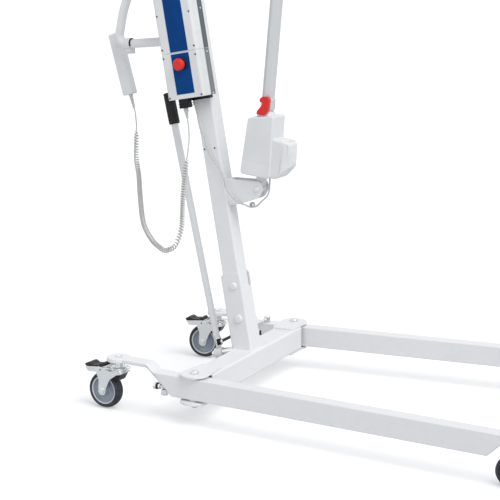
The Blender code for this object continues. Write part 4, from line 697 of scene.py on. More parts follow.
def plated(name, slot, tint, roughness, spangle=260.0, dark=0.92):
    """Bright plating: fine spangle, faint drawn lines, small scratches and duller patches."""
    metal = Finish(name, slot, tint, roughness, 1.0)
    grains = metal.cells(spangle, "Color")
    tone = metal.node("SeparateColor", {0: grains}, "Red")
    cloud = metal.noise(36, 4, 0.65)
    lines = metal.noise(70, 3, 0.7, metal.stretched((1.0, 1.0, 14.0)))
    scratch = metal.noise(170, 5, 0.8, metal.stretched((6.0, 1.0, 1.0))).between(0.64, 0.7)
    dull = cloud.between(0.35, 0.75)
    metal.tinted((dull * 0.8 + tone * 0.2).held(), dark, 1)
    metal.set("Roughness", (roughness - 0.06) + tone * 0.03 + dull * 0.06 + scratch * 0.1)
    metal.bumped(lines, 0.04, 0.0002, metal.bumped(scratch, 0.06, 0.0001))


def rod_steel(name, slot, tint):
    """Ground and chromed rod: fine rings round it and a film of grease."""
    metal = Finish(name, slot, tint, 0.13, 1.0)
    rings = metal.noise(90, 3, 0.6, metal.stretched((0.2, 0.2, 18.0)))
    film = metal.noise(14, 3).between(0.45, 0.75)
    metal.tinted(film * 0.5, 1, 0.86)
    metal.set("Roughness", 0.1 + rings * 0.06 + film * 0.1)
    metal.bumped(rings, 0.04, 0.0002)


def rubber(name, slot, tint, roughness, dusty):
    """Rubber: fine mould texture, a greyer worn tread and floor dust in it."""
    tyre = Finish(name, slot, tint, roughness, specular_ior_level=0.3)
    pores = tyre.noise(1500, 3, 0.65)
    dust = tyre.noise(95, 5, 0.75).between(0.46, 0.78) * dusty
    mottled = tyre.mixed(tyre.noise(30, 3), tyre.shaded(0.85), tyre.shaded(1.25))
    tyre.set("Base Color", tyre.mixed(dust * 0.35, mottled, (0.2, 0.195, 0.19)))
    tyre.set("Roughness", roughness - 0.04 + pores * 0.1 + dust * 0.15)
    tyre.bumped(pores, 0.2, 0.0003, tyre.bumped(tyre.noise(260), 0.1, 0.0006))


def printed_film(name, slot, tint):
    """Label film: satin print with a faint screen grain and a few hairline scratches."""
    film = Finish(name, slot, tint, 0.3, specular_ior_level=0.1)
    screen = film.cells(2600)
    cloud = film.noise(16, 3)
    hair = film.noise(210, 4, 0.8, film.stretched((1.0, 5.0, 1.0))).between(0.66, 0.7)
    film.tinted(cloud.between(0.3, 0.7), 0.9, 1.08)
    film.set("Roughness", 0.26 + cloud * 0.08 + hair * 0.25)
    film.bumped(screen, 0.05, 0.0001)


def sheath(name, slot, tint, roughness):
    """Cord sheath: matt extruded plastic with a faint waxy sheen and handling marks."""
    cord = Finish(name, slot, tint, roughness, sheen_weight=0.1)
    marks = cord.noise(120, 3, 0.65).between(0.4, 0.8)
    cord.tinted(marks, 1.04, 0.86)
    cord.set("Roughness", roughness + cord.noise(1900) * 0.12 - 0.06)
    cord.bumped(cord.noise(1400), 0.12, 0.0003)


class LIFT_OT_finishes(Operator):
    """Make the finishes and give them to the CAD nodes that stay in view"""
    bl_idname = "lift.finishes"
    bl_label = "Finishes"

    def execute(self, context):
        tints = context.scene.lift_colours
        powder_coat("paint", "grey_paint", tints.paint, True)
        powder_coat("weld_paint", "grey_paint", tints.paint, False)
        moulded("housing_plastic", "light_plastic", tints.housing, 0.44)
        moulded("slate_plastic", "dark_plastic", tints.slate, 0.42)
        moulded("rail_grey", "dark_plastic", tints.rail_low, 0.42)
        moulded("eye_grey", "light_plastic", tints.eye, 0.4)
        tube = powder_coat("tube_grey", "grey_paint", tints.tube, False)
        tube.set("Metallic", 0.45)
        # black_plastic also colours the ring of painted shadow under the stop button
        moulded("black_plastic", "black_plastic", tints.black, 0.34, 1700.0, shine=0.22)
        # This rubber also colours the band of painted shadow inside the handset's hook
        moulded("grip_rubber_and_painted_shadow", "black_plastic", tints.black, 0.24, 900.0, shine=0.28)
        moulded("red_plastic", "red_plastic", tints.red, 0.3, 1900.0, shine=0.35)
        moulded("rim_plastic", "rim_plastic", tints.rim, 0.42, 1900.0)
        plated("zinc", "zinc", tints.zinc, 0.27)
        plated("steel", "steel", tints.steel, 0.22, 420.0, 0.93)
        rod_steel("rod_steel", "steel", tints.steel)
        rubber("tyre_rubber", "tyre_rubber", tints.tyre, 0.58, 1.0)
        rubber("pedal_rubber", "black_plastic", tints.pedal, 0.52, 0.6)
        printed_film("label_blue", "light_plastic", tints.label)
        printed_film("label_edge", "light_plastic", tints.label_edge)
        sheath("cord_sheath", "cord_grey", tints.cord, 0.5)
        sheath("cord_plastic", "cord_grey", tuple(c * 1.12 for c in tints.cord), 0.46)
        kinds = {"grey_paint": "paint", "light_plastic": "housing_plastic", "dark_plastic": "slate_plastic",
            "black_plastic": "black_plastic", "zinc": "zinc", "steel": "steel",
            "rim_plastic": "rim_plastic", "tyre_rubber": "tyre_rubber", "red_plastic": "red_plastic",
            "cord_grey": "cord_plastic"}
        for part in frame["record"]["subparts"]:
            node = frame["nodes"][part["node"]]
            for face_slot in node.material_slots:
                face_slot.material = FINISHES[kinds[part["material_slot"]]]
        return {"FINISHED"}


# Stage and cords

class LIFT_OT_stage(Operator):
    """Camera at the photograph's viewpoint, a white floor that keeps the shadow, and soft studio light"""
    bl_idname = "lift.stage"
    bl_label = "Stage"

    def execute(self, context):
        scene = context.scene
        scene.view_settings.view_transform = "Standard"
        deselect()
        bpy.ops.object.camera_add(location=CAMERA_PLACE, rotation=(pi / 2 - CAMERA_DOWN, 0,
            CAMERA_WAY - pi / 2))
        camera = bpy.context.object
        camera.data.lens = CAMERA_LENS
        camera.data.sensor_width = 36
        camera.data.clip_end = 200
        scene.camera = camera
        self.floor()
        self.world(scene)
        self.lamp("key light", (-0.24, -0.58, 0.78), 46, 1.86)
        self.lamp("side light", (-0.9, 0.3, 0.35), 60, 0.2)
        return {"FINISHED"}

    def lamp(self, name, way, spread, power):
        """A soft light from one side, even over the whole floor."""
        deselect()
        bpy.ops.object.light_add(type="SUN", location=Vector(way) * 6)
        lamp = bpy.context.object
        lamp.name = name
        lamp.rotation_euler = Vector(way).to_track_quat("Z", "Y").to_euler()
        lamp.data.angle = radians(spread)
        lamp.data.energy = power

    def floor(self):
        """A wide floor, white to the camera, that keeps the lift's shadow."""
        deselect()
        bpy.ops.mesh.primitive_plane_add(size=60, location=(0, 0, -0.0006))
        floor = bpy.context.object
        floor.name = "floor"
        bpy.ops.object.transform_apply(location=True, rotation=True, scale=True)
        finish = bpy.data.materials.new("floor")
        finish.use_nodes = True
        tree = finish.node_tree
        principled = tree.nodes["Principled BSDF"]
        for key, value in (("Base Color", (0.74, 0.745, 0.75, 1)), ("Roughness", 0.9),
                ("Specular IOR Level", 0.1)):
            feed(tree, principled.inputs[key], value)
        matt = principled.outputs[0]
        both = add_node(tree, "AddShader", {0: matt, 1: add_node(tree, "Emission", {"Strength": 0.34})})
        seen = add_node(tree, "LightPath", output="Is Camera Ray")
        share = add_node(tree, "MixShader", {0: seen, 1: matt, 2: both})
        feed(tree, tree.nodes["Material Output"].inputs["Surface"], share)
        floor.data.materials.append(finish)

    def world(self, scene):
        """White behind the lift and in its gloss, a gentle grey sky for its light."""
        world = bpy.data.worlds.new("studio")
        scene.world = world
        world.use_nodes = True
        tree = world.node_tree
        sky = tree.nodes["Background"]
        feed(tree, sky.inputs["Color"], (0.94, 0.97, 1.0, 1))
        feed(tree, sky.inputs["Strength"], 0.59)
        white = add_node(tree, "Background", {"Color": (1, 1, 1, 1)})
        clear = add_node(tree, "LightPath", output="Is Camera Ray")
        for ray in ("Is Glossy Ray", "Is Transmission Ray"):
            seen = add_node(tree, "LightPath", output=ray)
            clear = add_node(tree, "Math", {0: clear, 1: seen}, operation="ADD", use_clamp=True)
        share = add_node(tree, "MixShader", {0: clear, 1: sky.outputs[0], 2: white})
        feed(tree, tree.nodes["World Output"].inputs["Surface"], share)


# Routes of the cords, from the point midway between the leg pivots on the floor
CURL_ROUTE = mm((30, 367, 720), (22, 363, 681), (8, 355, 637), (-12, 336, 595), (-50, 309, 535),
    (-92, 275, 477), (-119, 234, 440), (-129, 204, 423), (-132, 184, 416), (-131, 157, 428),
    (-127, 144, 454), (-119, 139, 484), (-106, 143, 534), (-95, 146, 585), (-87, 145, 628), (-81, 142, 666))
PLUG_ROUTE = mm((-78.2, 136.8, 712), (-78, 137, 735), (-78, 138.5, 755))
CABLE_ROUTE = mm((-45, 125.4, 762.4), (-42.5, 120.5, 740), (-36, 113, 718), (-34, 104, 688), (-34, 83, 652),
    (-34, 64, 630), (-35, 53, 605), (-36, 46, 582), (-34, 30, 562), (-28, 12, 546), (-19, -1, 539),
    (-14, -10, 534.5))
KNOT = [(-0.012 + 0.0006 * k, 0.006 * cos(pi * (1.5 - k / 4)) - 0.019,
    0.538 + 0.006 * sin(pi * (1.5 - k / 4))) for k in range(17)]
CABLE_END_ROUTE = mm((-2, -29, 534.5), (-4, -39, 543), (-5, -50, 553), (-3, -62, 566), (-0.5, -66.5, 580),
    (0, -67.5, 596))
CURL_DENSITY = [(0.0, 0.8), (0.1, 0.88), (0.22, 1.1), (0.5, 1.15), (0.6, 1.0), (0.66, 0.72), (0.72, 0.85),
    (0.78, 1.15), (0.9, 0.95), (1.0, 0.8)]
CORD_STRAIGHT = 0.012
RELIEF_LENGTH = 0.04
PLUG_END = MAST @ Vector((-0.078, 0.027, CONTROL_FROM - SEAT - 0.025 - SEAT - 0.028 - SEAT))
CABLE_PLUG_END = MAST @ Vector((-0.045, 0.013, CONTROL_FROM - SEAT - 0.008 - SEAT - 0.038 - SEAT))
CABLE_END = ACTUATOR @ Vector((0, -0.0245, 0.0311))
RELIEF_END = HANDSET @ Vector((0, 0, -RELIEF_LENGTH - SEAT))


def smooth_route(route, spacing):
    """Evenly spaced points on a smooth curve through a route's points."""
    points = [Vector(p) for p in route]
    points = [2 * points[0] - points[1], *points, 2 * points[-1] - points[-2]]
    dense = []
    for a, b, c, d in zip(points, points[1:], points[2:], points[3:]):
        for k in range(24):
            t = k / 24
            dense.append(0.5 * (2 * b + (c - a) * t + (2 * a - 5 * b + 4 * c - d) * t ** 2
                + (3 * b - a - 3 * c + d) * t ** 3))
    dense.append(points[-2])
    return even(dense, spacing)


def even(chain, spacing):
    """Points at an even spacing along a chain, with its length."""
    run = [0.0]
    for here, there in zip(chain, chain[1:]):
        run.append(run[-1] + (there - here).length)
    count = max(2, round(run[-1] / spacing) + 1)
    points, k = [], 0
    for i in range(count):
        mark = run[-1] * i / (count - 1)
        while k < len(run) - 2 and run[k + 1] < mark:
            k += 1
        share = (mark - run[k]) / max(run[k + 1] - run[k], 1e-9)
        points.append(chain[k].lerp(chain[k + 1], min(share, 1.0)))
    return points, run[-1]


def run_of(chain):
    """Length of a chain of points."""
    return sum((b - a).length for a, b in zip(chain, chain[1:]))


def ramp_at(stops, place):
    """A value between stops."""
    for (a, low), (b, high) in zip(stops, stops[1:]):
        if place <= b:
            return low + (high - low) * (place - a) / (b - a)
    return stops[-1][1]


class LIFT_OT_cords(Operator):
    """The handset's cord with its curls, and the actuator's cable with its small knot"""
    bl_idname = "lift.cords"
    bl_label = "Cords"

    def execute(self, context):
        sizes = context.scene.lift_sizes
        shift = Vector((0, SHIFT_Y, 0))
        route = [Vector(p) + shift for p in CURL_ROUTE]
        path, _ = smooth_route(route, 0.0006)
        curl = self.curled(path, sizes)
        lead_in = [RELIEF_END, HANDSET @ Vector((0, 0, -RELIEF_LENGTH - SEAT - CORD_STRAIGHT))]
        start = path[0] - (path[1] - path[0]).normalized() * CORD_STRAIGHT
        lead, _ = smooth_route([*lead_in, start, path[0]], 0.003)
        end = path[-1] + (path[-1] - path[-2]).normalized() * CORD_STRAIGHT
        tail, _ = smooth_route([path[-1], end, *[Vector(p) + shift for p in PLUG_ROUTE], PLUG_END], 0.003)
        chain = [*lead[:-1], *curl, *tail[1:]]
        cord = done("handset_cord", piped(chain, sizes.curl_wire, 3), None, "base", "cord_sheath",
            "handset_lead", "handset_curly_cord", "plug_lead")
        run_of(chain)
        run, length = smooth_route([CABLE_PLUG_END, *[Vector(p) + shift
            for p in CABLE_ROUTE + KNOT + CABLE_END_ROUTE], CABLE_END], 0.0025)
        cable = done("actuator_cord", piped(run, sizes.cable_wire, 4), None, "base", "cord_sheath",
            "actuator_cable")
        return {"FINISHED"}

    def curled(self, path, sizes):
        """The cord's centre line where it curls round its route, denser in the middle."""
        count, per_turn = sizes.curls, 18
        side = Vector((1, 0, 0)).cross(path[1] - path[0]).normalized()
        weights = [ramp_at(CURL_DENSITY, i / (len(path) - 1)) for i in range(len(path))]
        total = sum(weights[:-1])
        frames, turn = [], 0.0
        for i, point in enumerate(path):
            way = (path[min(i + 1, len(path) - 1)] - path[max(i - 1, 0)]).normalized()
            side = (side - way * side.dot(way)).normalized()
            frames.append((point, side, way.cross(side), turn))
            turn += weights[i] / total * count
        steps, line, k = count * per_turn, [], 0
        for n in range(steps + 1):
            mark = count * n / steps
            while k < len(frames) - 2 and frames[k + 1][3] < mark:
                k += 1
            here, there = frames[k], frames[k + 1]
            share = min(max((mark - here[3]) / (there[3] - here[3]), 0.0), 1.0)
            ramp = min(1.0, mark / 2.4, (count - mark) / 2.4)
            reach = sizes.curl_radius * ramp * ramp * (3 - 2 * ramp)
            angle = 2 * pi * mark
            line.append(here[0].lerp(there[0], share) + reach * (cos(angle) * here[1].lerp(there[1], share)
                + sin(angle) * here[2].lerp(there[2], share)))
        return line


# Base: cross beam, pivots and legs

def hollowed(piece, wall, test):
    """Open a tube from end to end: inset its two end faces and bridge them."""
    choose_faces(piece, test)
    bpy.ops.mesh.inset(thickness=wall)
    bpy.ops.mesh.bridge_edge_loops()
    leave()
    return tidy(piece)


class LIFT_OT_cross_beam(Operator):
    """Cross beam: a hollow rectangular tube with two welded ears at each end that fork the legs"""
    bl_idname = "lift.cross_beam"
    bl_label = "Cross beam"

    def execute(self, context):
        sizes = context.scene.lift_sizes
        edge = sizes.paint_edge + 0.0015
        tube = slab(oblong(BEAM_FRONT, BEAM_BOTTOM, BEAM_REAR, BEAM_TOP, edge), "YZ", -BEAM_HALF, BEAM_HALF)
        shapes = [soften(hollowed(tube, BEAM_WALL, lambda c, n: abs(n.x) > 0.9), 0.0006)]
        out, corner = PIVOT_X + EAR_RADIUS, EAR_RADIUS - 0.0001
        for s in (-1, 1):
            ear = [(s * EAR_INBOARD, BEAM_FRONT + 0.004, 0.004), (s * PIVOT_X, -EAR_RADIUS),
                (s * out, -EAR_RADIUS, corner), (s * out, EAR_RADIUS, corner), (s * PIVOT_X, EAR_RADIUS),
                (s * EAR_INBOARD, BEAM_REAR - 0.003, 0.004)]
            for level, low, high in ((BEAM_TOP, BEAM_TOP - 0.0004, BEAM_TOP + EAR_THICK),
                    (BEAM_BOTTOM, BEAM_BOTTOM - EAR_THICK, BEAM_BOTTOM + 0.0004)):
                plate = slab(ear, "XY", low, high, 6)
                carve(plate, stick((s * PIVOT_X, 0, low - 0.01), (s * PIVOT_X, 0, high + 0.01), 0.0083))
                seam = [(s * EAR_INBOARD, BEAM_FRONT + 0.0046, level), (s * (EAR_INBOARD - 0.0002), 0,
                    level), (s * EAR_INBOARD, BEAM_REAR - 0.0036, level)]
                shapes += [soften(plate, sizes.plate_edge * 1.4, 3), bead(seam, sizes.weld_bead * 0.8)]
        done("cross_beam", shapes, LIFT, "base", "paint")
        return {"FINISHED"}


class LIFT_OT_pivot_bolts(Operator):
    """Pivot bolts: a low ringed head, thin washers in the ears' gaps, a lock nut and its thread"""
    bl_idname = "lift.pivot_bolts"
    bl_label = "Pivot bolts"

    def execute(self, context):
        ear_top, under = BEAM_TOP + EAR_THICK, BEAM_BOTTOM - EAR_THICK
        head = turned(mm((0, 4.2), (4.2, 4.2, 0.4), (4.8, 6), (9.2, 6.5, 1.2), (11.2, 4.5, 0.8),
            (12, 0.4, 0.3), (0, 0.2), up=ear_top))
        carve(head, slab(hexagon(0.007), "XY", ear_top + 0.0018, ear_top + 0.01))
        shank = turned([(0, ear_top + 0.001), (0.008, ear_top + 0.001), (0.008, under - 0.008),
            (0.0078, under - 0.0128, 0.0008), (0, under - 0.0128)], 32)
        bolt = gather(soften(head, 0.0002, 1, 40), shank, washer(0.017, LEG_TOP + 0.0004, BEAM_TOP - 0.0006,
            0.0079), washer(0.017, BEAM_BOTTOM + 0.0006, LEG_BOTTOM - 0.0004, 0.0079),
            washer(0.014, under - 0.0018, under - 0.0003, 0.0079), bolt_head(0.024, 0.0075,
            at(0, 0, under - 0.0018, pi, "X")), thread(0.0078, under - 0.0128, under - 0.009, steps=24))
        for side, k in SIDES.items():
            done(f"pivot_bolt_{side}", copied(bolt), LIFT @ at(k * PIVOT_X, 0, 0), "base", "steel")
        removed(bolt)
        return {"FINISHED"}


class LIFT_OT_legs(Operator):
    """Legs: tubes with a slanted end, a raised tail with a round pad, a rounded nose and ball studs"""
    bl_idname = "lift.legs"
    bl_label = "Legs"

    def execute(self, context):
        sizes = context.scene.lift_sizes
        half = sizes.leg_width / 2
        nose, corner = NOSE_REACH + half, half - 0.0002
        cut_end = NOSE_CUT_START + (NOSE_BOTTOM - LEG_BOTTOM)
        under = TAIL_TOP - TAIL_THICK
        side = [(TAIL_HEEL, LEG_BOTTOM, 0.003), (-NOSE_CUT_START, LEG_BOTTOM, 0.006),
            (-cut_end, NOSE_BOTTOM, 0.006), (-nose, NOSE_BOTTOM), (-nose, LEG_TOP),
            (TAIL_KNEE - 0.015, LEG_TOP, 0.012), (TAIL_KNEE + 0.007, TAIL_TOP, 0.012),
            (TAIL_REACH, TAIL_TOP), (TAIL_REACH, under), (TAIL_KNEE, under, 0.008)]
        leg = slab(side, "YZ", -half - 0.002, half + 0.002, 9)
        above = [(-half, TAIL_REACH + 0.01), (half, TAIL_REACH + 0.01), (half, -nose, corner),
            (-half, -nose, corner)]
        combined(leg, slab(above, "XY", 0.03, 0.17, 7), "INTERSECT")
        soften(leg, 0.003, 3, 38, False)
        pad = turned([(0, under - 0.0002), (PAD_RADIUS, under - 0.0002, 0.0024),
            (PAD_RADIUS, TAIL_TOP + 0.0002, 0.0024), (0, TAIL_TOP + 0.0002)], 64, at(0, TAIL_REACH, 0))
        tail_bore = stick((0, TAIL_REACH, 0.12), (0, TAIL_REACH, 0.16), 0.0064)
        carve(pad, copied(tail_bore))
        carve(leg, stick((0, 0, 0.05), (0, 0, 0.15), 0.0082), stick((0, -NOSE_REACH, 0.09),
            (0, -NOSE_REACH, 0.14), 0.0064), tail_bore)
        seam = bead([(x * 0.001, TAIL_HEEL + 0.0015, LEG_BOTTOM + 0.0032) for x in range(-16, 17, 4)],
            sizes.weld_bead * 0.55)
        both_sides("leg", gather(leg, pad, seam), LEG, "leg", "paint", "leg")
        for name, y, start, end, flats in (("right", 0.095, LEG_BOTTOM + 0.032, 0.0735,
                at(0, 0, -0.0335, pi, "X")), ("left", 0.085, LEG_TOP - 0.001, 0.1365, at(0, 0, 0.001))):
            arc = [(0.0045 * cos(radians(d)), 0.0045 * sin(radians(d))) for d in range(-75, 76, 15)]
            stud = [stick((0, y, start), (0, y, end), 0.003), turned([(0, -0.0045), *arc, (0, 0.0045)], 24,
                at(0, y, end)), bolt_head(0.01, 0.0026, at(0, y, start) @ flats)]
            done(f"ball_stud_{name}", stud, LEG[name], f"leg_{name}", "zinc", f"leg_{name}")
        return {"FINISHED"}


class LIFT_OT_leg_stops(Operator):
    """Stop screws at the slanted ends of the legs, each with a lock nut and a washer"""
    bl_idname = "lift.leg_stops"
    bl_label = "Leg stops"

    def execute(self, context):
        high = 0.09
        face = TAIL_HEEL + (high - LEG_BOTTOM) * (TAIL_KNEE - TAIL_HEEL) / (TAIL_TOP - TAIL_THICK
            - LEG_BOTTOM)
        length = 0.112 - face
        for name, k in SIDES.items():
            place = LEG[name] @ at(k * 0.011, 0, high)
            parts = [turned([(0, 0), (0.0039, 0), (0.0039, length), (0, length)], 32,
                at(0, face, 0) @ TO_REAR), thread(0.0039, 0.001, length, at(0, face, 0) @ TO_REAR),
                bolt_head(0.013, 0.0062, at(0, 0.1002, 0) @ TO_REAR), bolt_head(0.017, 0.0098,
                at(0, 0.111, 0) @ TO_REAR, 0.0098)]
            done(f"leg_stop_washer_{name}", washer(0.009, 0, 0.0024, 0.0039),
                place @ at(0, 0.1068, 0) @ TO_REAR, f"leg_{name}", "black_plastic", f"leg_stop_{name}")
            done(f"leg_stop_{name}", parts, place, f"leg_{name}", "zinc")
        return {"FINISHED"}


# Casters

def fork_shape(wheel, trail, width, crown, ears):
    """Pressed fork: two cheeks under a crown, with rounded bends and a room for the wheel."""
    half, gap, front = width / 2 + 0.003, width / 2, 0.0215
    corners = [(-front, crown, 0.0015), (-front, crown - 0.0034, 0.0015), (-0.006, crown - 0.007, 0.006),
        (trail - 0.026, wheel + 0.034, 0.02), (trail - 0.013, wheel + 0.006, 0.016),
        (trail - 0.011, wheel - 0.012, 0.0105), (trail + 0.012, wheel - 0.012, 0.0105),
        (trail + 0.0095, wheel + 0.03, 0.02), (trail + 0.014, crown - 0.006, 0.004),
        (trail + 0.01, crown, 0.002)]
    if ears:
        corners[-2:] = [(trail + 0.018, crown - 0.008, 0.004), (trail + 0.004, crown + 0.002, 0.006),
            (0.0385, 0.12, 0.006), (0.0235, 0.12, 0.006), (0.0195, crown, 0.001)]
    fork = slab(corners, "YZ", -half, half, 10)
    room = [(-gap, -0.03), (gap, -0.03), (gap, crown - 0.003, 0.0035), (-gap, crown - 0.003, 0.0035)]
    carve(fork, slab(room, "XZ", -0.08, trail + 0.08))
    if ears:
        carve(fork, block((-gap, -0.06, crown), (gap, trail + 0.06, crown + 0.05)),
            drill(PEDAL_Y, PEDAL_HIGH, 0.0031, 24))
    return soften(fork, 0.0007)


def caster_axle(wheel, trail, width):
    """Axle bolt with a washer and a head at one side and a lock nut at the other."""
    half, place = width / 2 + 0.003, at(0, trail, wheel)
    parts = [turned([(0, -half - 0.0052), (0.0052, -half - 0.0052, 0.0006), (0.0058, -half), (0.0058, half),
        (0.0052, half + 0.005, 0.0006), (0, half + 0.005)], 32, place @ TO_RIGHT)]
    for s, turn in ((1, TO_RIGHT), (-1, TO_LEFT)):
        parts += [bolt_head(0.0155, 0.0036, place @ at(s * (half + 0.001), 0, 0) @ turn
            @ Matrix.Rotation(0.3, 4, "Z")), washer(0.0092, 0, 0.0011, 0.005,
            place @ at(s * half, 0, 0) @ turn)]
    return parts


class LIFT_OT_rear_casters(Operator):
    """Rear casters: zinc forks with race, stem ring and axle bolt, dished grey wheels and dark tyres"""
    bl_idname = "lift.rear_casters"
    bl_label = "Rear casters"

    def execute(self, context):
        sizes = context.scene.lift_sizes
        crown = CROWN_TOP
        race = turned(mm((0, -3), (23.2, -3, 0.6), (23.6, 1, 0.6), (21.8, 1.6, 0.4), (22.2, 4.8, 1.4),
            (19.2, 5.4, 0.6), (18.6, 7.2, 0.4), (23, 7.6, 0.6), (23.4, 10.4, 1.2), (17.8, 13, 0.8),
            (11.2, 13, 0.4), (10.8, 27.8, 0.4), (6, 27.9), (6, 39.8), (10.4, 39.9, 0.3), (10, 43.2, 0.6),
            (5.6, 43.4, 0.3), (5, 42), (0, 42), up=crown))
        rivets = []
        for a in (0.5, 2.1, 3.7, 5.3):
            x, y = 0.015 * cos(a), 0.015 * sin(a)
            rivets.append(stick((x, y, crown + 0.012), (x, y, crown + 0.0138), 0.0016, 0.0012, 16))
        fork = gather(fork_shape(REAR_HIGH, REAR_TRAIL, FORK_GAP, crown, True), race, *rivets,
            *caster_axle(REAR_HIGH, REAR_TRAIL, FORK_GAP))
        half = mm((6.4, 17.1), (10.8, 17.1, 0.6), (12.2, 16, 0.6), (13.2, 6.2, 2), (17, 4.8, 2),
            (26.2, 5.2, 2), (31.8, 7.8, 3), (33.8, 11.6, 1), (35.2, 12, 0.4), (35.8, 11.2, 0.3),
            (36.8, 11.2, 0.3), (37.4, 13, 0.5), (38.6, 12.8, 0.3))
        rim = turned(paired(half), 64, closed=True, fine=20)
        radius, wide = sizes.rear_wheel, sizes.rear_width / 2
        side = [(0.0389, wide - 0.0032), (0.0412, wide - 0.0014, 0.0008), (0.044, wide - 0.0004, 0.002),
            (radius - 0.003, wide - 0.003, 0.005), (radius - 0.0004, wide - 0.0105, 0.01)]
        tyre = turned(side + [(radius, 0.0, 0.02)] + paired(side)[len(side):], 72, closed=True, fine=10)
        lip = gather(*[turned([(0.0356, z * 0.0113), (0.0356, z * 0.0124, 0.0003),
            (0.0372, z * 0.0136, 0.0005), (0.0385, z * 0.0133, 0.0003), (0.0385, z * 0.0113)], 64,
            closed=True, fine=20) for z in (-1, 1)])
        seal = turned(mm((17, 5.3), (22, 5.6, 0.4), (22, 7, 0.4), (17, 7.3), up=crown), closed=True)
        shoe = slab([(-0.019, crown - 0.0042, 0.001), (-0.007, 0.083, 0.003), (0.002, 0.085, 0.003),
            (0.015, 0.097, 0.006), (0.015, crown - 0.0032)], "YZ", -0.0168, 0.0168, 10)
        dark = gather(seal, soften(shoe, 0.0008))
        both_sides("rear_shoe", dark, REAR_SWIVEL, "rear_caster", "black_plastic", "rear_fork")
        both_sides("rear_fork", fork, REAR_SWIVEL, "rear_caster", "zinc", "rear_fork")
        both_sides("rear_rim", rim, REAR_AXLE, "rear_wheel", "rim_plastic", "rear_rim")
        both_sides("rear_lip", lip, REAR_AXLE, "rear_wheel", "eye_grey", "rear_rim")
        both_sides("rear_tyre", tyre, REAR_AXLE, "rear_wheel", "tyre_rubber", "rear_tyre")
        return {"FINISHED"}


class LIFT_OT_brake_pedals(Operator):
    """Brake pedals: a zinc tray with arms round the race, and a ridged rubber tread with two lumps"""
    bl_idname = "lift.brake_pedals"
    bl_label = "Brake pedals"

    def execute(self, context):
        toe, wide, gap = -0.0605, 0.0274, 0.0245
        arms = slab([(-wide, 0.022, 0.004), (-wide, toe, 0.022), (wide, toe, 0.022), (wide, 0.022, 0.004)],
            "XY", 0.0026, 0.005, 10)
        carve(arms, slab([(-gap, toe + 0.003, 0.02), (gap, toe + 0.003, 0.02), (gap, 0.0178, 0.003),
            (-gap, 0.0178, 0.003)], "XY", -0.02, 0.03, 10))
        shapes = [soften(arms, 0.0006), slab(mm((17.8, 4), (17.8, 1.8), (62, -2.2), (64, -0.2)), "YZ",
            -0.023, 0.023), slab(mm((11.8, 4.4), (11.8, 2.6), (20, 2), (20, 3.8)), "YZ", -0.0168, 0.0168)]
        flange = mm((-7.5, 5, 3), (-7.5, -5.5, 5), (10, -8.5, 5), (35, -12, 10), (56, -12.8, 3),
            (65.5, 0, 1))
        for k in (-1, 1):
            plate = slab(flange, "YZ", *sorted((k * 0.0222, k * 0.024)))
            shapes += [soften(plate, 0.0005), stick((k * 0.0258, -0.03, 0.005), (k * 0.0258, -0.03, 0.0082),
                0.0015, 0.0015, 16)]
        pin = turned(paired(mm((0, -26.2), (4.2, -26.2, 0.6), (4.6, -24.4), (3, -24.2))), 24, TO_RIGHT)
        both_sides("pedal_tray", gather(*shapes, pin), PEDAL, "brake", "zinc", "brake_pedal")
        tread = mm((10.5, 4.2), (10.8, 9, 1.5), (15, 12.2, 2), (20, 11.2, 2), (26.2, 6.2, 3), (45, 4.6, 3),
            (54, 9.4, 2), (59, 10, 2), (70.2, 5, 1.5), (70, 2.2, 1), (63.2, -3, 1), (56, 1))
        rubber = slab(tread, "YZ", -0.0172, 0.0172, 10)
        for y, z in ((0.0135, 0.0112), (0.017, 0.0118), (0.056, 0.0097), (0.06, 0.0095), (0.064, 0.0077)):
            carve(rubber, stick((-0.013, y, z + 0.0003), (0.013, y, z + 0.0003), 0.0006, steps=12))
        soften(rubber, 0.0008)
        dots = [stick((k * 0.0239, 0.0145, -0.0036), (k * 0.0246, 0.0145, -0.0036), 0.002, steps=24)
            for k in (-1, 1)]
        both_sides("pedal_rubber", gather(rubber, *dots), PEDAL, "brake", "pedal_rubber", "brake_pedal")
        return {"FINISHED"}


class LIFT_OT_front_casters(Operator):
    """Front casters: small zinc forks with solid rollers under the legs' noses"""
    bl_idname = "lift.front_casters"
    bl_label = "Front casters"

    def execute(self, context):
        radius, crown = context.scene.lift_sizes.front_wheel, FRONT_CROWN
        race = turned(mm((0, -0.2), (22.6, -0.2, 0.8), (23, 4.4, 1.6), (19, 5.2, 0.5), (18.6, 6.8, 0.4),
            (22.6, 7.2, 0.6), (22.8, 9.8, 1.2), (17.6, 12, 0.8), (11, 12.1, 0.3), (10.8, 22.8, 0.3),
            (6, 22.9), (6, 45.9), (10.4, 46, 0.3), (9.8, 49.7, 0.8), (0, 49.9), up=crown))
        fork = gather(fork_shape(FRONT_HIGH, FRONT_TRAIL, FRONT_GAP, crown, False), race,
            *caster_axle(FRONT_HIGH, FRONT_TRAIL, FRONT_GAP))
        side = [(0.0064, 0.0141), (0.01, 0.0141, 0.0005), (0.0112, 0.013, 0.0005), (0.013, 0.0096, 0.001),
            (0.0262, 0.0078, 0.002), (0.029, 0.0118, 0.001), (0.0318, 0.0128, 0.0015),
            (radius - 0.002, 0.0098, 0.003), (radius, 0.003, 0.01)]
        both_sides("front_fork", fork, FRONT_SWIVEL, "front_caster", "zinc", "front_fork")
        both_sides("front_wheel", turned(paired(side), 64, closed=True), FRONT_AXLE, "front_roller",
            "tyre_rubber", "front_wheel")
        return {"FINISHED"}


# Mast, its foot and head, and the push handle

HANDLE = mm((150, 979), (404.5, 957.5), (362, 1171), (190, 1247.6))
CAP_HIGH = 0.0066


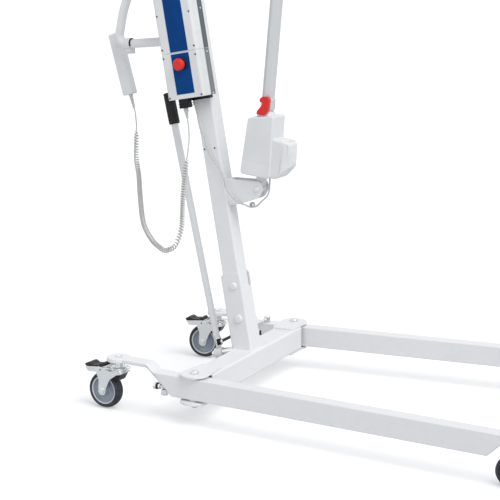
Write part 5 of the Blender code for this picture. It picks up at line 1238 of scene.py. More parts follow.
def cross_bolt(name, half, radius, reach, cap, across, nut, place):
    """A bolt through a square part: a domed cap at the near side, a washer and lock nut at the far one."""
    parts = [turned([(0, -half - 0.001), (radius, -half - 0.001), (radius, reach - 0.0012),
        (radius - 0.0007, reach, 0.0003), (0, reach)], 32, TO_RIGHT),
        bolt_head(across, nut - 0.0014, at(half + 0.0014, 0, 0) @ TO_RIGHT),
        washer(across * 0.62, 0, 0.0013, radius, at(half + 0.0001, 0, 0) @ TO_RIGHT),
        thread(radius - 0.0001, half + nut, reach - 0.0008, TO_RIGHT)]
    dome = turned([(0, 0), (cap, 0), (cap, CAP_HIGH * 0.22, 0.0004), (cap * 0.94, CAP_HIGH * 0.3, 0.0004),
        (cap * 0.88, CAP_HIGH * 0.86, CAP_HIGH * 0.35), (cap * 0.4, CAP_HIGH, 0.003), (0, CAP_HIGH)],
        fine=10)
    done(name, parts, place, "base", "steel")
    done(f"{name}_cap", dome, place @ at(-half, 0, 0) @ TO_LEFT, "base", "weld_paint", name)


class LIFT_OT_mast_foot(Operator):
    """Foot socket: a square tube welded on the beam, with rounded cheeks, open at its front and back"""
    bl_idname = "lift.mast_foot"
    bl_label = "Mast foot"

    def execute(self, context):
        sizes = context.scene.lift_sizes
        half, hole, gap = FOOT_SIDE / 2, MAST_SIDE / 2 + 0.0003, MAST_SIDE / 2 - 0.001
        foot = slab(oblong(-half, -half, half, half, 0.006, 10), "XY", -0.012, FOOT_CHEEK)
        cheek = [(-half - 0.001, -0.03), (half + 0.001, -0.03), (half + 0.001, FOOT_CHEEK + 0.0001, 0.012),
            (-half - 0.001, FOOT_CHEEK + 0.0001, 0.012)]
        combined(foot, slab(cheek, "YZ", -0.05, 0.05, 8), "INTERSECT")
        carve(foot, block((-hole, -hole, -0.1), (hole, hole, 0.4)), placed(block((-0.1, -0.1, -0.1),
            (0.1, 0.1, 0.0)), Matrix.Rotation(MAST_LEAN, 4, "X")), slab([(-gap, FOOT_PLATE, 0.006),
            (gap, FOOT_PLATE, 0.006), (gap, 0.3), (-gap, 0.3)], "XZ", -0.05, 0.05))
        placed(soften(foot, sizes.plate_edge * 1.3, 3), MAST)
        front, rear = MAST_Y + SHIFT_Y - half / cos(MAST_LEAN), MAST_Y + SHIFT_Y + 0.0262
        outline = rounded([(-half, rear), (-half, front, 0.006), (half, front, 0.006), (half, rear)], False)
        seam = bead([(p[0], p[1], BEAM_TOP + 0.0002) for p in outline], sizes.weld_bead)
        done("mast_foot", [foot, seam], None, "base", "paint")
        return {"FINISHED"}


class LIFT_OT_mast(Operator):
    """Mast: a hollow square tube with two small screw holes, and the two bolts that hold it in its foot"""
    bl_idname = "lift.mast"
    bl_label = "Mast"

    def execute(self, context):
        half, edge = MAST_SIDE / 2, context.scene.lift_sizes.paint_edge + 0.001
        mast = slab(oblong(-half, -half, half, half, edge, 10), "XY", MAST_START, MAST_START + MAST_LENGTH)
        hollowed(mast, MAST_WALL, lambda c, n: abs(n.z) > 0.9)
        for w in (0.019, -0.0126):
            carve(mast, stick((-half - 0.004, w, 0.5628), (-half + 0.006, w, 0.5628), 0.0027, steps=24))
        done("mast", mast, MAST, "base", "weld_paint")
        for name, height, cap in (("lower", 0.088, 0.0125), ("upper", 0.18, 0.011)):
            cross_bolt(f"mast_bolt_{name}", FOOT_SIDE / 2 + 0.0003, 0.005, 0.0411, cap, 0.017, 0.0078,
                MAST @ at(0, FOOT_BOLT_W, height))
        return {"FINISHED"}


class LIFT_OT_mast_head(Operator):
    """Mast head: a cap with two rounded cheeks round the boom's hinge, and the hinge bolt"""
    bl_idname = "lift.mast_head"
    bl_label = "Mast head"

    def execute(self, context):
        sizes = context.scene.lift_sizes
        half, eye, top = FOOT_SIDE / 2, 0.024, MAST_START + MAST_LENGTH + SEAT
        skirt, gap = top - 0.045, MAST_SIDE / 2 + 0.0003
        view = [(-half, skirt), (half, skirt), (half, top + 0.02, 0.012),
            (HINGE_W + eye, HINGE_HIGH - 0.014, 0.01), (HINGE_W + eye, HINGE_HIGH + eye, eye - 0.0002),
            (HINGE_W - eye, HINGE_HIGH + eye, eye - 0.0002), (HINGE_W - eye, HINGE_HIGH - 0.01, 0.004),
            (-half, HINGE_HIGH - 0.03, 0.004)]
        head = slab(view, "YZ", -half, half, 7)
        carve(head, block((-gap, -gap, skirt - 0.01), (gap, gap, top)),
            block((-gap, -0.1, top + 0.006), (gap, 0.1, HINGE_HIGH + 0.1)),
            drill(HINGE_W, HINGE_HIGH, 0.0073))
        soften(head, sizes.plate_edge * 1.3, 3)
        seam = bead([(p[0], p[1], skirt - 0.0002) for p in oblong(-gap, -gap, gap, gap)],
            sizes.weld_bead * 0.8, True)
        done("mast_head", [head, seam], MAST, "base", "weld_paint")
        cross_bolt("boom_pivot_bolt", half + 0.0003, 0.007, 0.0431, 0.013, 0.022, 0.0098,
            MAST @ at(0, HINGE_W, HINGE_HIGH))
        return {"FINISHED"}


def seam_ring(centre, way, radius, normal, offset=0.0):
    """Points where a round tube meets a plane through centre."""
    way, normal = Vector(way).normalized(), Vector(normal).normalized()
    side = way.cross(Vector((1, 0, 0.01))).normalized()
    up = way.cross(side)
    points = []
    for turn in ring(radius, 36):
        around = turn.x * side + turn.y * up
        points.append(centre + around - way * (around.dot(normal) / way.dot(normal)) + normal * offset)
    return points


class LIFT_OT_handle(Operator):
    """Push handle: one bent tube between two heights of the mast's back, with its weld beads"""
    bl_idname = "lift.handle"
    bl_label = "Push handle"

    def execute(self, context):
        sizes = context.scene.lift_sizes
        half = MAST_SIDE / 2 + 0.0003
        path = bend([(0, *p) for p in HANDLE], [0.024, 0.29], 4)
        handle = placed(pipe(path, sizes.handle_tube, 8), LIFT)
        parts = [carve(handle, placed(block((-0.05, -0.2, 0), (0.05, half, 1.4)), MAST))]
        back, face = MAST.to_3x3() @ Vector((0, 1, 0)), MAST @ Vector((0, half, 0))
        for end, on in ((HANDLE[0], HANDLE[1]), (HANDLE[3], HANDLE[2])):
            start, way = LIFT @ Vector((0, *end)), (Vector((0, *on)) - Vector((0, *end))).normalized()
            foot = start + way * ((face - start).dot(back) / way.dot(back))
            parts.append(bead(seam_ring(foot, way, sizes.handle_tube, back, 0.0004), sizes.weld_bead * 0.9,
                True))
        done("push_handle", parts, None, "base", "weld_paint")
        return {"FINISHED"}


# Control box, battery, sockets and plugs

def box_slice(low, high, corner, inset=0.0):
    """A slice of the control box between two heights of the mast."""
    near, front, rear = BOX_NEAR + inset, BOX_FRONT + inset, BOX_REAR - inset
    return slab([(near, front, corner), (BOX_FAR, front, 0.0012), (BOX_FAR, rear, 0.0012),
        (near, rear, corner)], "XY", low, high, 8)


def box_rib(low, high, near=-0.08, far=-0.0786):
    """A thin raised line on the box's front."""
    return soften(block((near, BOX_FRONT - 0.0006, low), (far, BOX_FRONT + 0.001, high)), 0.0003)


def box_screws(name, heights, body, node):
    """Small pan-head screws with a cross recess on the box's near face."""
    heads = []
    for t in heights:
        for w in (0.059, -0.039):
            head = turned(mm((0, -0.6), (2.7, -0.6), (2.7, 0.3), (2.1, 1.1, 0.6), (0, 1.3)), 28)
            for turn in (0.4, 0.4 + pi / 2):
                slot = block((-0.0016, -0.00035, 0.0003), (0.0016, 0.00035, 0.003))
                carve(head, placed(slot, Matrix.Rotation(turn, 4, "Z")))
            heads.append(placed(head, at(BOX_NEAR, w, t, -pi / 2, "Y")))
    done(name, heads, MAST, body, "slate_plastic", node)


def label_pieces(name, low, high, body, node):
    """Printed film on the box's near face, with a thin light edge."""
    for finish, inset, proud in (("label_edge", -0.0004, 0.00022), ("label_blue", 0.001, 0.00036)):
        film = slab(oblong(-0.0203 + inset, low + inset, 0.0364 - inset, high - inset, 0.0014, 20), "YZ",
            BOX_NEAR - proud, BOX_NEAR + 0.0002)
        done(f"{name}_{finish}", film, MAST, body, finish, node)


class LIFT_OT_control_box(Operator):
    """Slate rail on the mast, and the control unit with its label and screws, and a black ring under the stop
    button that paints the cap's shadow
    """
    bl_idname = "lift.control_box"
    bl_label = "Control box"

    def execute(self, context):
        near, far = BOX_FAR + SEAT, -MAST_SIDE / 2 - SEAT
        outline = [(near, -0.044, 0.001), (far, -0.044, 0.003), (far, 0.058, 0.003), (near, 0.058, 0.001)]
        for low, high, finish in ((0.8342, BATTERY_TO + 0.012, "slate_plastic"),
                (CONTROL_FROM, 0.8336, "rail_grey")):
            rail = slab(outline, "XY", low, high)
            for x in (-0.0475, -0.0335):
                carve(rail, block((x - 0.0007, -0.05, 0.5), (x + 0.0007, -0.0434, 1.2)))
            done("rail", soften(rail, 0.0005), MAST, "base", finish, "battery_rail", slot="dark_plastic")
        dots = [turned(mm((0, -0.5), (2.6, -0.5), (2.6, 0.4), (1.8, 1, 0.4), (0.9, 1), (0.7, 0.2),
            (0, 0.2)), 28, at(-0.0405, -0.044, t, pi / 2, "X")) for t in (0.8235, 0.712, 0.94, 1.06)]
        done("rail_screws", dots, MAST, "base", "zinc", "battery_rail")
        corner = context.scene.lift_sizes.box_corner
        unit = box_slice(CONTROL_FROM, CONTROL_TO, corner)
        carve(unit, stick((BOX_NEAR + 0.022, STOP_W, STOP_T), (BOX_NEAR - 0.01, STOP_W, STOP_T), 0.0055))
        soften(unit, 0.0012, 3)
        # A black ring under the stop button's cap: it paints the shadow that the cap casts on the box
        collar = turned(mm((5.6, 0), (16.2, 0), (15.9, 1, 0.6), (14.6, 2.2, 0.8), (13.4, 2.4, 0.3),
            (13, 1.6, 0.3), (5.6, 1.6)), 56, closed=True)
        done("stop_button_painted_shadow", collar, MAST @ at(BOX_NEAR + 0.0001, STOP_W, STOP_T, -pi / 2, "Y"), "base",
            "black_plastic", "control_unit")
        lip = box_rib(CONTROL_FROM + 0.004, CONTROL_FROM + 0.0052, BOX_NEAR + 0.004, BOX_FAR - 0.004)
        rib = box_rib(CONTROL_FROM + 0.0052, CONTROL_TO - 0.003)
        spacer = box_slice(CONTROL_TO - 0.0004, BATTERY_FROM - 0.0004, 0.0066, 0.0006)
        done("control_unit", [unit, lip, rib, spacer], MAST, "base", "housing_plastic")
        box_screws("unit_screws", (0.8204, 0.7135), "base", "control_unit")
        label_pieces("unit", 0.7195, CONTROL_TO - 0.0005, "base", "control_unit")
        return {"FINISHED"}


class LIFT_OT_battery(Operator):
    """Battery pack: a box in line with the control unit, with its grip, label and screws"""
    bl_idname = "lift.battery"
    bl_label = "Battery"

    def execute(self, context):
        pack = box_slice(BATTERY_FROM, BATTERY_TO, context.scene.lift_sizes.box_corner)
        for t in (0.876, 1.034):
            carve(pack, slab(oblong(BOX_NEAR - 0.01, BOX_FRONT - 0.01, BOX_FAR + 0.01, BOX_FRONT + 0.0008),
                "XY", t, t + 0.0012))
        soften(pack, 0.0012, 3)
        x, front, rear = (BOX_NEAR + BOX_FAR) / 2, BOX_FRONT + 0.018, BOX_REAR - 0.018
        low, high = BATTERY_TO - 0.002, 1.102
        grip = pipe(bend([(x, front, low), (x, front, high), (x, rear, high), (x, rear, low)],
            [0.014, 0.014]), 0.0075)
        feet = [turned([(0, low), (0.0098, low), (0.0098, BATTERY_TO + 0.0022, 0.0012),
            (0.0076, BATTERY_TO + 0.0034, 0.0006), (0, BATTERY_TO + 0.0034)], 32, at(x, w, 0))
            for w in (front, rear)]
        rib = box_rib(BATTERY_FROM + 0.003, BATTERY_TO - 0.003)
        done("battery_pack", [pack, grip, rib, *feet], MAST, "battery", "housing_plastic")
        box_screws("battery_screws", (0.8434, 0.934, 1.055), "battery", "battery_pack")
        label_pieces("battery", BATTERY_FROM + 0.0005, BATTERY_TO - 0.012, "battery", "battery_pack")
        return {"FINISHED"}


class LIFT_OT_stop_button(Operator):
    """Stop button: a red mushroom with a fluted rim and a shallow dish"""
    bl_idname = "lift.stop_button"
    bl_label = "Stop button"

    def execute(self, context):
        cap = context.scene.lift_sizes.stop_cap
        button = turned([(0, 0.0214), (cap * 0.3, 0.0216, 0.003), (cap * 0.58, 0.0219, 0.003),
            (cap * 0.86, 0.0196, 0.004), (cap - 0.0002, 0.0155, 0.003), (cap - 0.0004, 0.0085),
            (cap - 0.002, 0.006, 0.0012), (0.005, 0.006), (0.005, -0.016), (0, -0.016)], 72, fine=8)
        choose_faces(button, lambda c, n: 0.0088 < c.z < 0.0146 and hypot(n.x, n.y) > 0.8
            and int(degrees(atan2(c.y, c.x)) // 5) % 2 == 0)
        bpy.ops.transform.shrink_fatten(value=-0.0005)
        leave()
        done("emergency_stop", button, STOP @ TO_LEFT, "stop_button", "red_plastic", smooth=40)
        return {"FINISHED"}


class LIFT_OT_sockets(Operator):
    """Black sockets under the box and the grey ribbed plugs of the two cords"""
    bl_idname = "lift.sockets"
    bl_label = "Sockets and plugs"

    def execute(self, context):
        top = CONTROL_FROM - SEAT
        for name, x, half, low, high, deep, edge, seams in (("handset_socket", -0.078, 0.012, 0.011, 0.04,
                0.025, 0.003, (0.3, 0.55, 0.8)), ("actuator_socket", -0.045, 0.01, -0.038, 0.026, 0.008,
                0.002, ())):
            near, far = x - half, x + half
            body = slab(oblong(near, low, far, high, edge), "XY", top - deep, top)
            for share in seams:
                collar = slab(oblong(near - 0.002, low - 0.002, far + 0.002, high + 0.002), "XY",
                    top - deep * share - 0.0006, top - deep * share + 0.0006)
                carve(body, carve(collar, slab(oblong(near + 0.0006, low + 0.0006, far - 0.0006,
                    high - 0.0006, edge), "XY", top - deep, top)))
            done(name, soften(body, 0.0006), MAST, "base", "black_plastic")
        for name, place, length in (("handset_plug", (-0.078, 0.027, top - 0.025 - SEAT), 0.028),
                ("actuator_plug", (-0.045, 0.013, top - 0.008 - SEAT), 0.038)):
            profile = [(0, 0), (0.0064, 0), (0.0066, -length * 0.12, 0.0004), (0.006, -length * 0.14),
                (0.006, -length * 0.2), (0.0067, -length * 0.22, 0.0004), (0.0068, -length * 0.34, 0.0008)]
            for k in range(6):
                start, radius = 0.4 + 0.088 * k, 0.0056 - 0.00034 * k
                profile += [(radius - 0.0011, -length * (start - 0.02)), (radius - 0.0011,
                    -length * (start + 0.014)), (radius, -length * (start + 0.024)),
                    (radius - 0.0001, -length * (start + 0.06))]
            profile += [(0.0033, -length * 0.955), (0.0032, -length, 0.0004), (0, -length)]
            done(name, turned(profile, 36, MAST @ at(*place)), None, "base", "cord_plastic")
        return {"FINISHED"}


# Boom, spreader bar and actuator

class LIFT_OT_boom(Operator):
    """Boom: a hollow tube with a hub at the mast, a closed nose with a tongue, and cheeks for the actuator"""
    bl_idname = "lift.boom"
    bl_label = "Boom"

    def execute(self, context):
        sizes = context.scene.lift_sizes
        wide, high, nose, edge = 0.022, 0.025, 0.808, sizes.paint_edge + 0.0015
        tube = slab(oblong(-wide, -high, wide, high, edge, 10), "XZ", -nose, -0.006)
        hollowed(tube, 0.003, lambda c, n: abs(n.y) > 0.9)
        carve(tube, stick((0, -0.76, -0.05), (0, -0.76, 0), 0.004))
        hub = turned(paired(mm((0, -26), (21.4, -26, 0.8), (22, -25))), 56, TO_RIGHT)
        top, eye, tip = 0.0245, 0.0135, -BOOM_LENGTH
        half = [(-nose + 0.002, top), (-nose - 0.005, top, 0.004), (tip + 0.024, eye, 0.01),
            (tip - eye, eye, eye - 0.0001)]
        view = [(half[0][0], -top), *half, *[(y, -z, r) for y, z, r in reversed(half[1:])]]
        end = slab(view, "YZ", -wide + 0.001, wide - 0.001, 8)
        rooms = [block((low, tip - 0.03, -0.05), (high_x, -nose - 0.012, 0.05)) for low,
            high_x in ((-0.04, -0.0065), (0.0065, 0.04))]
        carve(end, *rooms, drill(tip, 0, 0.0063))
        soften(end, sizes.plate_edge)
        carve(hub, drill(0, 0, 0.0073))
        shapes, reach, low = [tube, hub, end], -LIFT_REACH, -LIFT_DROP - 0.018
        cheek = [(reach - 0.055, -high + 0.0006), (reach - 0.055, -high - 0.008, 0.004),
            (reach - 0.03, low, 0.016), (reach + 0.03, low, 0.016), (reach + 0.055, -high - 0.008, 0.004),
            (reach + 0.055, -high + 0.0006)]
        for k in (-1, 1):
            plate = slab(cheek, "YZ", *sorted((k * 0.0125, k * 0.0165)), 8)
            seam = [(k * 0.0172, reach + y, -high - 0.0003) for y in (-0.054, 0.054)]
            shapes += [soften(plate, sizes.plate_edge), bead(seam, sizes.weld_bead * 0.8)]
        shapes.append(bead([(p[0], -nose - 0.0001, p[1]) for p in oblong(-0.021, -0.0238, 0.021, 0.0238,
            0.005)], sizes.weld_bead * 0.4, True))
        done("boom", shapes, BOOM, "boom", "weld_paint")
        bolt = [turned(mm((0, -16.5), (6, -16.5), (6, 21.2), (0, 21.2)), 32,
            at(0, reach, -LIFT_DROP) @ TO_RIGHT), bolt_head(0.0172, 0.0046,
            at(-0.0167, reach, -LIFT_DROP) @ TO_LEFT), bolt_head(0.0172, 0.0046,
            at(0.0167, reach, -LIFT_DROP) @ TO_RIGHT)]
        done("boom_eye_bolt", bolt, BOOM, "boom", "steel", "boom")
        return {"FINISHED"}


class LIFT_OT_spreader(Operator):
    """Hanger that swings on the boom's nose, and the bent spreader bar with its two open hooks"""
    bl_idname = "lift.spreader"
    bl_label = "Hanger and spreader bar"

    def execute(self, context):
        outside, inside, drop, stem = 0.0125, 0.0068, SWIVEL_DROP, 0.0065
        view = mm((-13.5, -48, 3), (13.5, -48, 3), (13.5, 13.5, 13.3), (-13.5, 13.5, 13.3))
        yoke = slab(view, "YZ", -outside, outside, 8)
        soften(carve(yoke, block((-inside, -0.02, -0.034), (inside, 0.02, 0.03))), 0.0009, 3, 40)
        post = turned([(0, -0.042), (0.0118, -0.042), (0.0125, -0.05, 0.002), (0.0125, -0.09, 0.002),
            (0.011, -0.093, 0.001), (0.011, -0.0955, 0.0006), (0.0124, -0.0965, 0.0005),
            (0.0124, -drop + 0.0122, 0.0005), (stem, -drop + 0.0122), (stem, -drop - 0.0125),
            (0.0125, -drop - 0.0126, 0.0004), (0.0125, -drop - 0.0142, 0.0004),
            (stem - 0.0004, -drop - 0.0144), (stem - 0.0004, -drop - 0.0198), (0, -drop - 0.0198)])
        pin = turned(paired(mm((0, -16.6), (6.2, -16.6, 0.8), (6.6, -12.8), (6, -12.6))), 32, TO_RIGHT)
        nut = bolt_head(0.0205, 0.0052, at(0, 0, -drop - 0.0142, pi, "X"))
        done("spreader_hanger", [yoke, post, pin, nut], SWING, "hanger", "zinc")
        low, ends = -SPREADER_DROP, SPREADER_HALF + 0.025
        path = bend([(-ends + 0.002, 0, low), (-0.15, 0, low), (-0.06, 0, 0), (0.06, 0, 0), (0.15, 0, low),
            (ends - 0.002, 0, low)], [0.06] * 4, 4)
        bar = pipe(path, 0.01, 8)
        hub = turned(mm((6.8, -11.6), (17.2, -11.6, 0.8), (18, -10), (18, 10), (17.2, 11.4, 0.8),
            (6.8, 11.4)), closed=True)
        shapes = [carve(bar, stick((0, 0, -0.03), (0, 0, 0.03), 0.0068)), hub]
        hook = bend([(0, 0, low), (0, 0, low - 0.054), (0, -0.034, low - 0.054), (0, -0.034, low - 0.028)],
            [0.0165, 0.0165], 6)
        for x in (-SPREADER_HALF, SPREADER_HALF):
            tip = turned(mm((0, -5.2), (5, -5.2), (5.2, -1, 3), (3, 2.2, 2), (0, 2.4)), 24,
                at(x, -0.034, low - 0.028))
            seam = seam_ring(Vector((x, 0, low - 0.0096)), (0, 0, -1), 0.005, (0, 0, -1))
            shapes += [pipe([p + Vector((x, 0, 0)) for p in hook], 0.005), tip, bead(seam, 0.0011, True)]
        done("spreader_bar", shapes, SWIVEL, "spreader", "weld_paint")
        return {"FINISHED"}


def seam_line(shell, plane, centre, shrink=0.986):
    """Cut a fine parting line into a housing where a thin plate passes through it."""
    inner = copied(shell, Matrix.Translation(centre) @ Matrix.Diagonal((shrink, shrink, shrink, 1))
        @ Matrix.Translation(-Vector(centre)))
    return carve(shell, carve(plane, inner))


class LIFT_OT_actuator(Operator):
    """Actuator: a moulded housing with its motor cover and parting lines, the grey tube with its collar, the
    bright rod and the lower eye"""
    bl_idname = "lift.actuator"
    bl_label = "Actuator"

    def execute(self, context):
        sizes = context.scene.lift_sizes
        main = mm((49.5, 37.5, 10), (-40.5, 35, 10), (-37, 206, 7), (38.5, 191, 6))
        housing = soften(slab(main, "YZ", -0.038, 0.038, 9), 0.0042, 4, 50, False)
        motor = mm((-20, 146, 4), (-86, 139.5, 12), (-93, 76, 26), (-58, 36.5, 24), (-20, 36.2, 4))
        cover = slab(motor, "YZ", -0.04, 0.04, 9)
        plan = mm((-32, -10), (-32, -94, 29), (32, -94, 29), (32, -10))
        combined(cover, slab(plan, "XY", 0.02, 0.17, 7), "INTERSECT")
        soften(cover, 0.006, 4, 50, False)
        seam_line(housing, placed(block((-0.05, -0.06, -0.0004), (0.05, 0.06, 0.0004)),
            at(0, 0, 0.0762, 0.037)), (0, 0.003, 0.118))
        shoulder = turned(mm((17.6, 185), (26.2, 185), (26.2, 201, 2), (19.6, 211, 2), (17.6, 211.2)), 56,
            closed=True)
        for shell in (housing, cover):
            carve(shell, stick((0, 0, 0.1517), (0, 0, 0.3), 0.0174, steps=48))
        eye = turned(paired(mm((5.2, -16.5), (10.4, -16.5, 0.6), (11, -15))), 48, TO_RIGHT, True)
        web = soften(block((-0.0155, -0.0094, 0.007), (0.0155, 0.0094, 0.06)), 0.0025, 3, 40)
        carve(web, drill(0, 0, 0.0105, 48))
        gland = turned(mm((3, 32.2), (4.6, 32.2, 0.4), (5, 34), (4.4, 35), (4.4, 35.8), (5.2, 36.8),
            (4.6, 38), (4.6, 38.8), (5.5, 40, 0.4), (5.5, 62), (3, 62)), 36, at(0, -0.0245, 0), True)
        done("actuator_housing", [housing, cover, shoulder], ACTUATOR, "actuator", "housing_plastic")
        done("actuator_foot", [eye, web], ACTUATOR, "actuator", "eye_grey", "actuator_housing",
            slot="light_plastic")
        done("gland", gland, ACTUATOR, "actuator", "cord_plastic", "actuator_housing", slot="light_plastic")
        self.tube(sizes.actuator_tube)
        self.rod(sizes.actuator_rod)
        return {"FINISHED"}

    def tube(self, radius):
        """Grey outer tube with its collars and two slots."""
        tube = turned([(0.0106, 0.165), (0.0106, TUBE_TO - 0.0004), (0.0118, TUBE_TO, 0.0003),
            (radius + 0.001, TUBE_TO, 0.001), (radius + 0.002, TUBE_TO - 0.0016, 0.001),
            (radius + 0.002, TUBE_TO - 0.012, 0.0006), (radius, TUBE_TO - 0.014, 0.0008), (radius, 0.2466),
            (0.0188, 0.246, 0.0006), (0.0195, 0.244, 0.0006), (0.0195, 0.2375, 0.0004),
            (0.0189, 0.237, 0.0003), (0.0189, 0.2358, 0.0003), (0.0195, 0.2353, 0.0004),
            (0.0195, 0.2175, 0.0006), (0.0188, 0.216, 0.0006), (radius, 0.2154), (radius, 0.1521),
            (0.004, 0.1521), (0.004, 0.165)], 64, closed=True)
        carve(tube, block((-0.0012, -0.023, 0.22), (0.0012, -0.0178, 0.234)),
            block((-0.02, -0.0115, 0.22), (-0.015, -0.01, 0.234)))
        done("actuator_tube", tube, ACTUATOR, "actuator", "tube_grey", slot="grey_paint")

    def rod(self, radius):
        """Bright sliding rod with its eye and bush."""
        start = 0.433 - STROKE
        rod = turned([(0, start), (radius - 0.0006, start, 0.0004), (radius, start + 0.0012),
            (radius, -0.015), (radius - 0.0008, -0.013, 0.0004), (radius - 0.0008, -0.006), (0, -0.006)])
        eye = turned(paired(mm((6.2, -10), (12.2, -10, 0.8), (13, -8.5))), 48, TO_RIGHT, True)
        bush = turned(paired(mm((6.1, -11.2), (7.2, -11.2, 0.3), (7.5, -10.5))), 40, TO_RIGHT, True)
        carve(rod, drill(0, 0, 0.0124, 48))
        done("actuator_rod", [rod, eye, bush], ACTUATOR @ at(0, 0, STROKE), "rod", "rod_steel")


class LIFT_OT_quick_release(Operator):
    """Red quick-release catch: a hooked slider beside the tube's collar, ribbed for the thumb"""
    bl_idname = "lift.quick_release"
    bl_label = "Quick release"

    def execute(self, context):
        view = mm((-6, 203, 3), (16.5, 203, 2.5), (15.5, 212, 5), (3, 229, 4), (1.2, 234.5, 1.5),
            (4, 236.5, 1), (9.5, 237, 1.5), (10.2, 245, 3), (4, 252, 4), (-13, 253.2, 5), (-18, 246, 6),
            (-16.5, 214, 6))
        catch = soften(slab(view, "YZ", -0.0328, -0.0199, 10), 0.0012, 3)
        for t in (0.242, 0.245, 0.248):
            carve(catch, stick((-0.0331, 0.0075, t), (-0.0331, -0.012, t + 0.0006), 0.0006, steps=12))
        done("quick_release", catch, ACTUATOR, "release", "red_plastic")
        return {"FINISHED"}


class LIFT_OT_actuator_bracket(Operator):
    """Folded bracket on the mast's front round the actuator's lower eye, its weld beads and the pin"""
    bl_idname = "lift.actuator_bracket"
    bl_label = "Actuator bracket"

    def execute(self, context):
        sizes = context.scene.lift_sizes
        back = MAST_SIDE / 2 + SEAT
        front = MAST_Y + (PIN.z - BEAM_TOP - SEAT) * tan(MAST_LEAN) - back / cos(MAST_LEAN)
        view = [(front - 0.0091, 0.534), (0.015, 0.539), (-0.044, 0.56, 0.016), (-0.0575, 0.5845, 0.016),
            (-0.05, 0.6065, 0.01), (front + 0.0041, 0.6065)]
        bracket = soften(slab(view, "YZ", -0.022, 0.022, 8), 0.0022, 3, 50, False)
        room = [(-0.018, -0.1), (0.018, -0.1), (0.018, front - 0.013, 0.003),
            (-0.018, front - 0.013, 0.003)]
        carve(bracket, slab(room, "XY", 0.5, 0.7), drill(-0.041, PIN.z, 0.0053),
            placed(block((-0.1, -back, 0), (0.1, 0.2, 1.0)), at(0, MAST_Y, BEAM_TOP + SEAT, -MAST_LEAN)))
        ends = [(MAST.inverted() @ (LIFT @ Vector((0, front, z)))).z for z in (0.54, 0.603)]
        seams = [placed(bead([(k * 0.0222, -back + 0.0001, z) for z in ends], sizes.weld_bead * 0.8), MAST)
            for k in (-1, 1)]
        done("actuator_bracket", [placed(bracket, LIFT), *seams], None, "base", "weld_paint")
        cross_bolt("actuator_pin", 0.0223, 0.005, 0.03, 0.008, 0.016, 0.006, Matrix.Translation(PIN))
        return {"FINISHED"}


# Leg lever with its tie rods, and the handset

LEVER_OUT = Vector((0, cos(LEVER_LEAN), -sin(LEVER_LEAN)))
EYE_LEFT, EYE_RIGHT = 0.03, -0.0337
BUTTONS = {"up": 0.13, "down": 0.098}


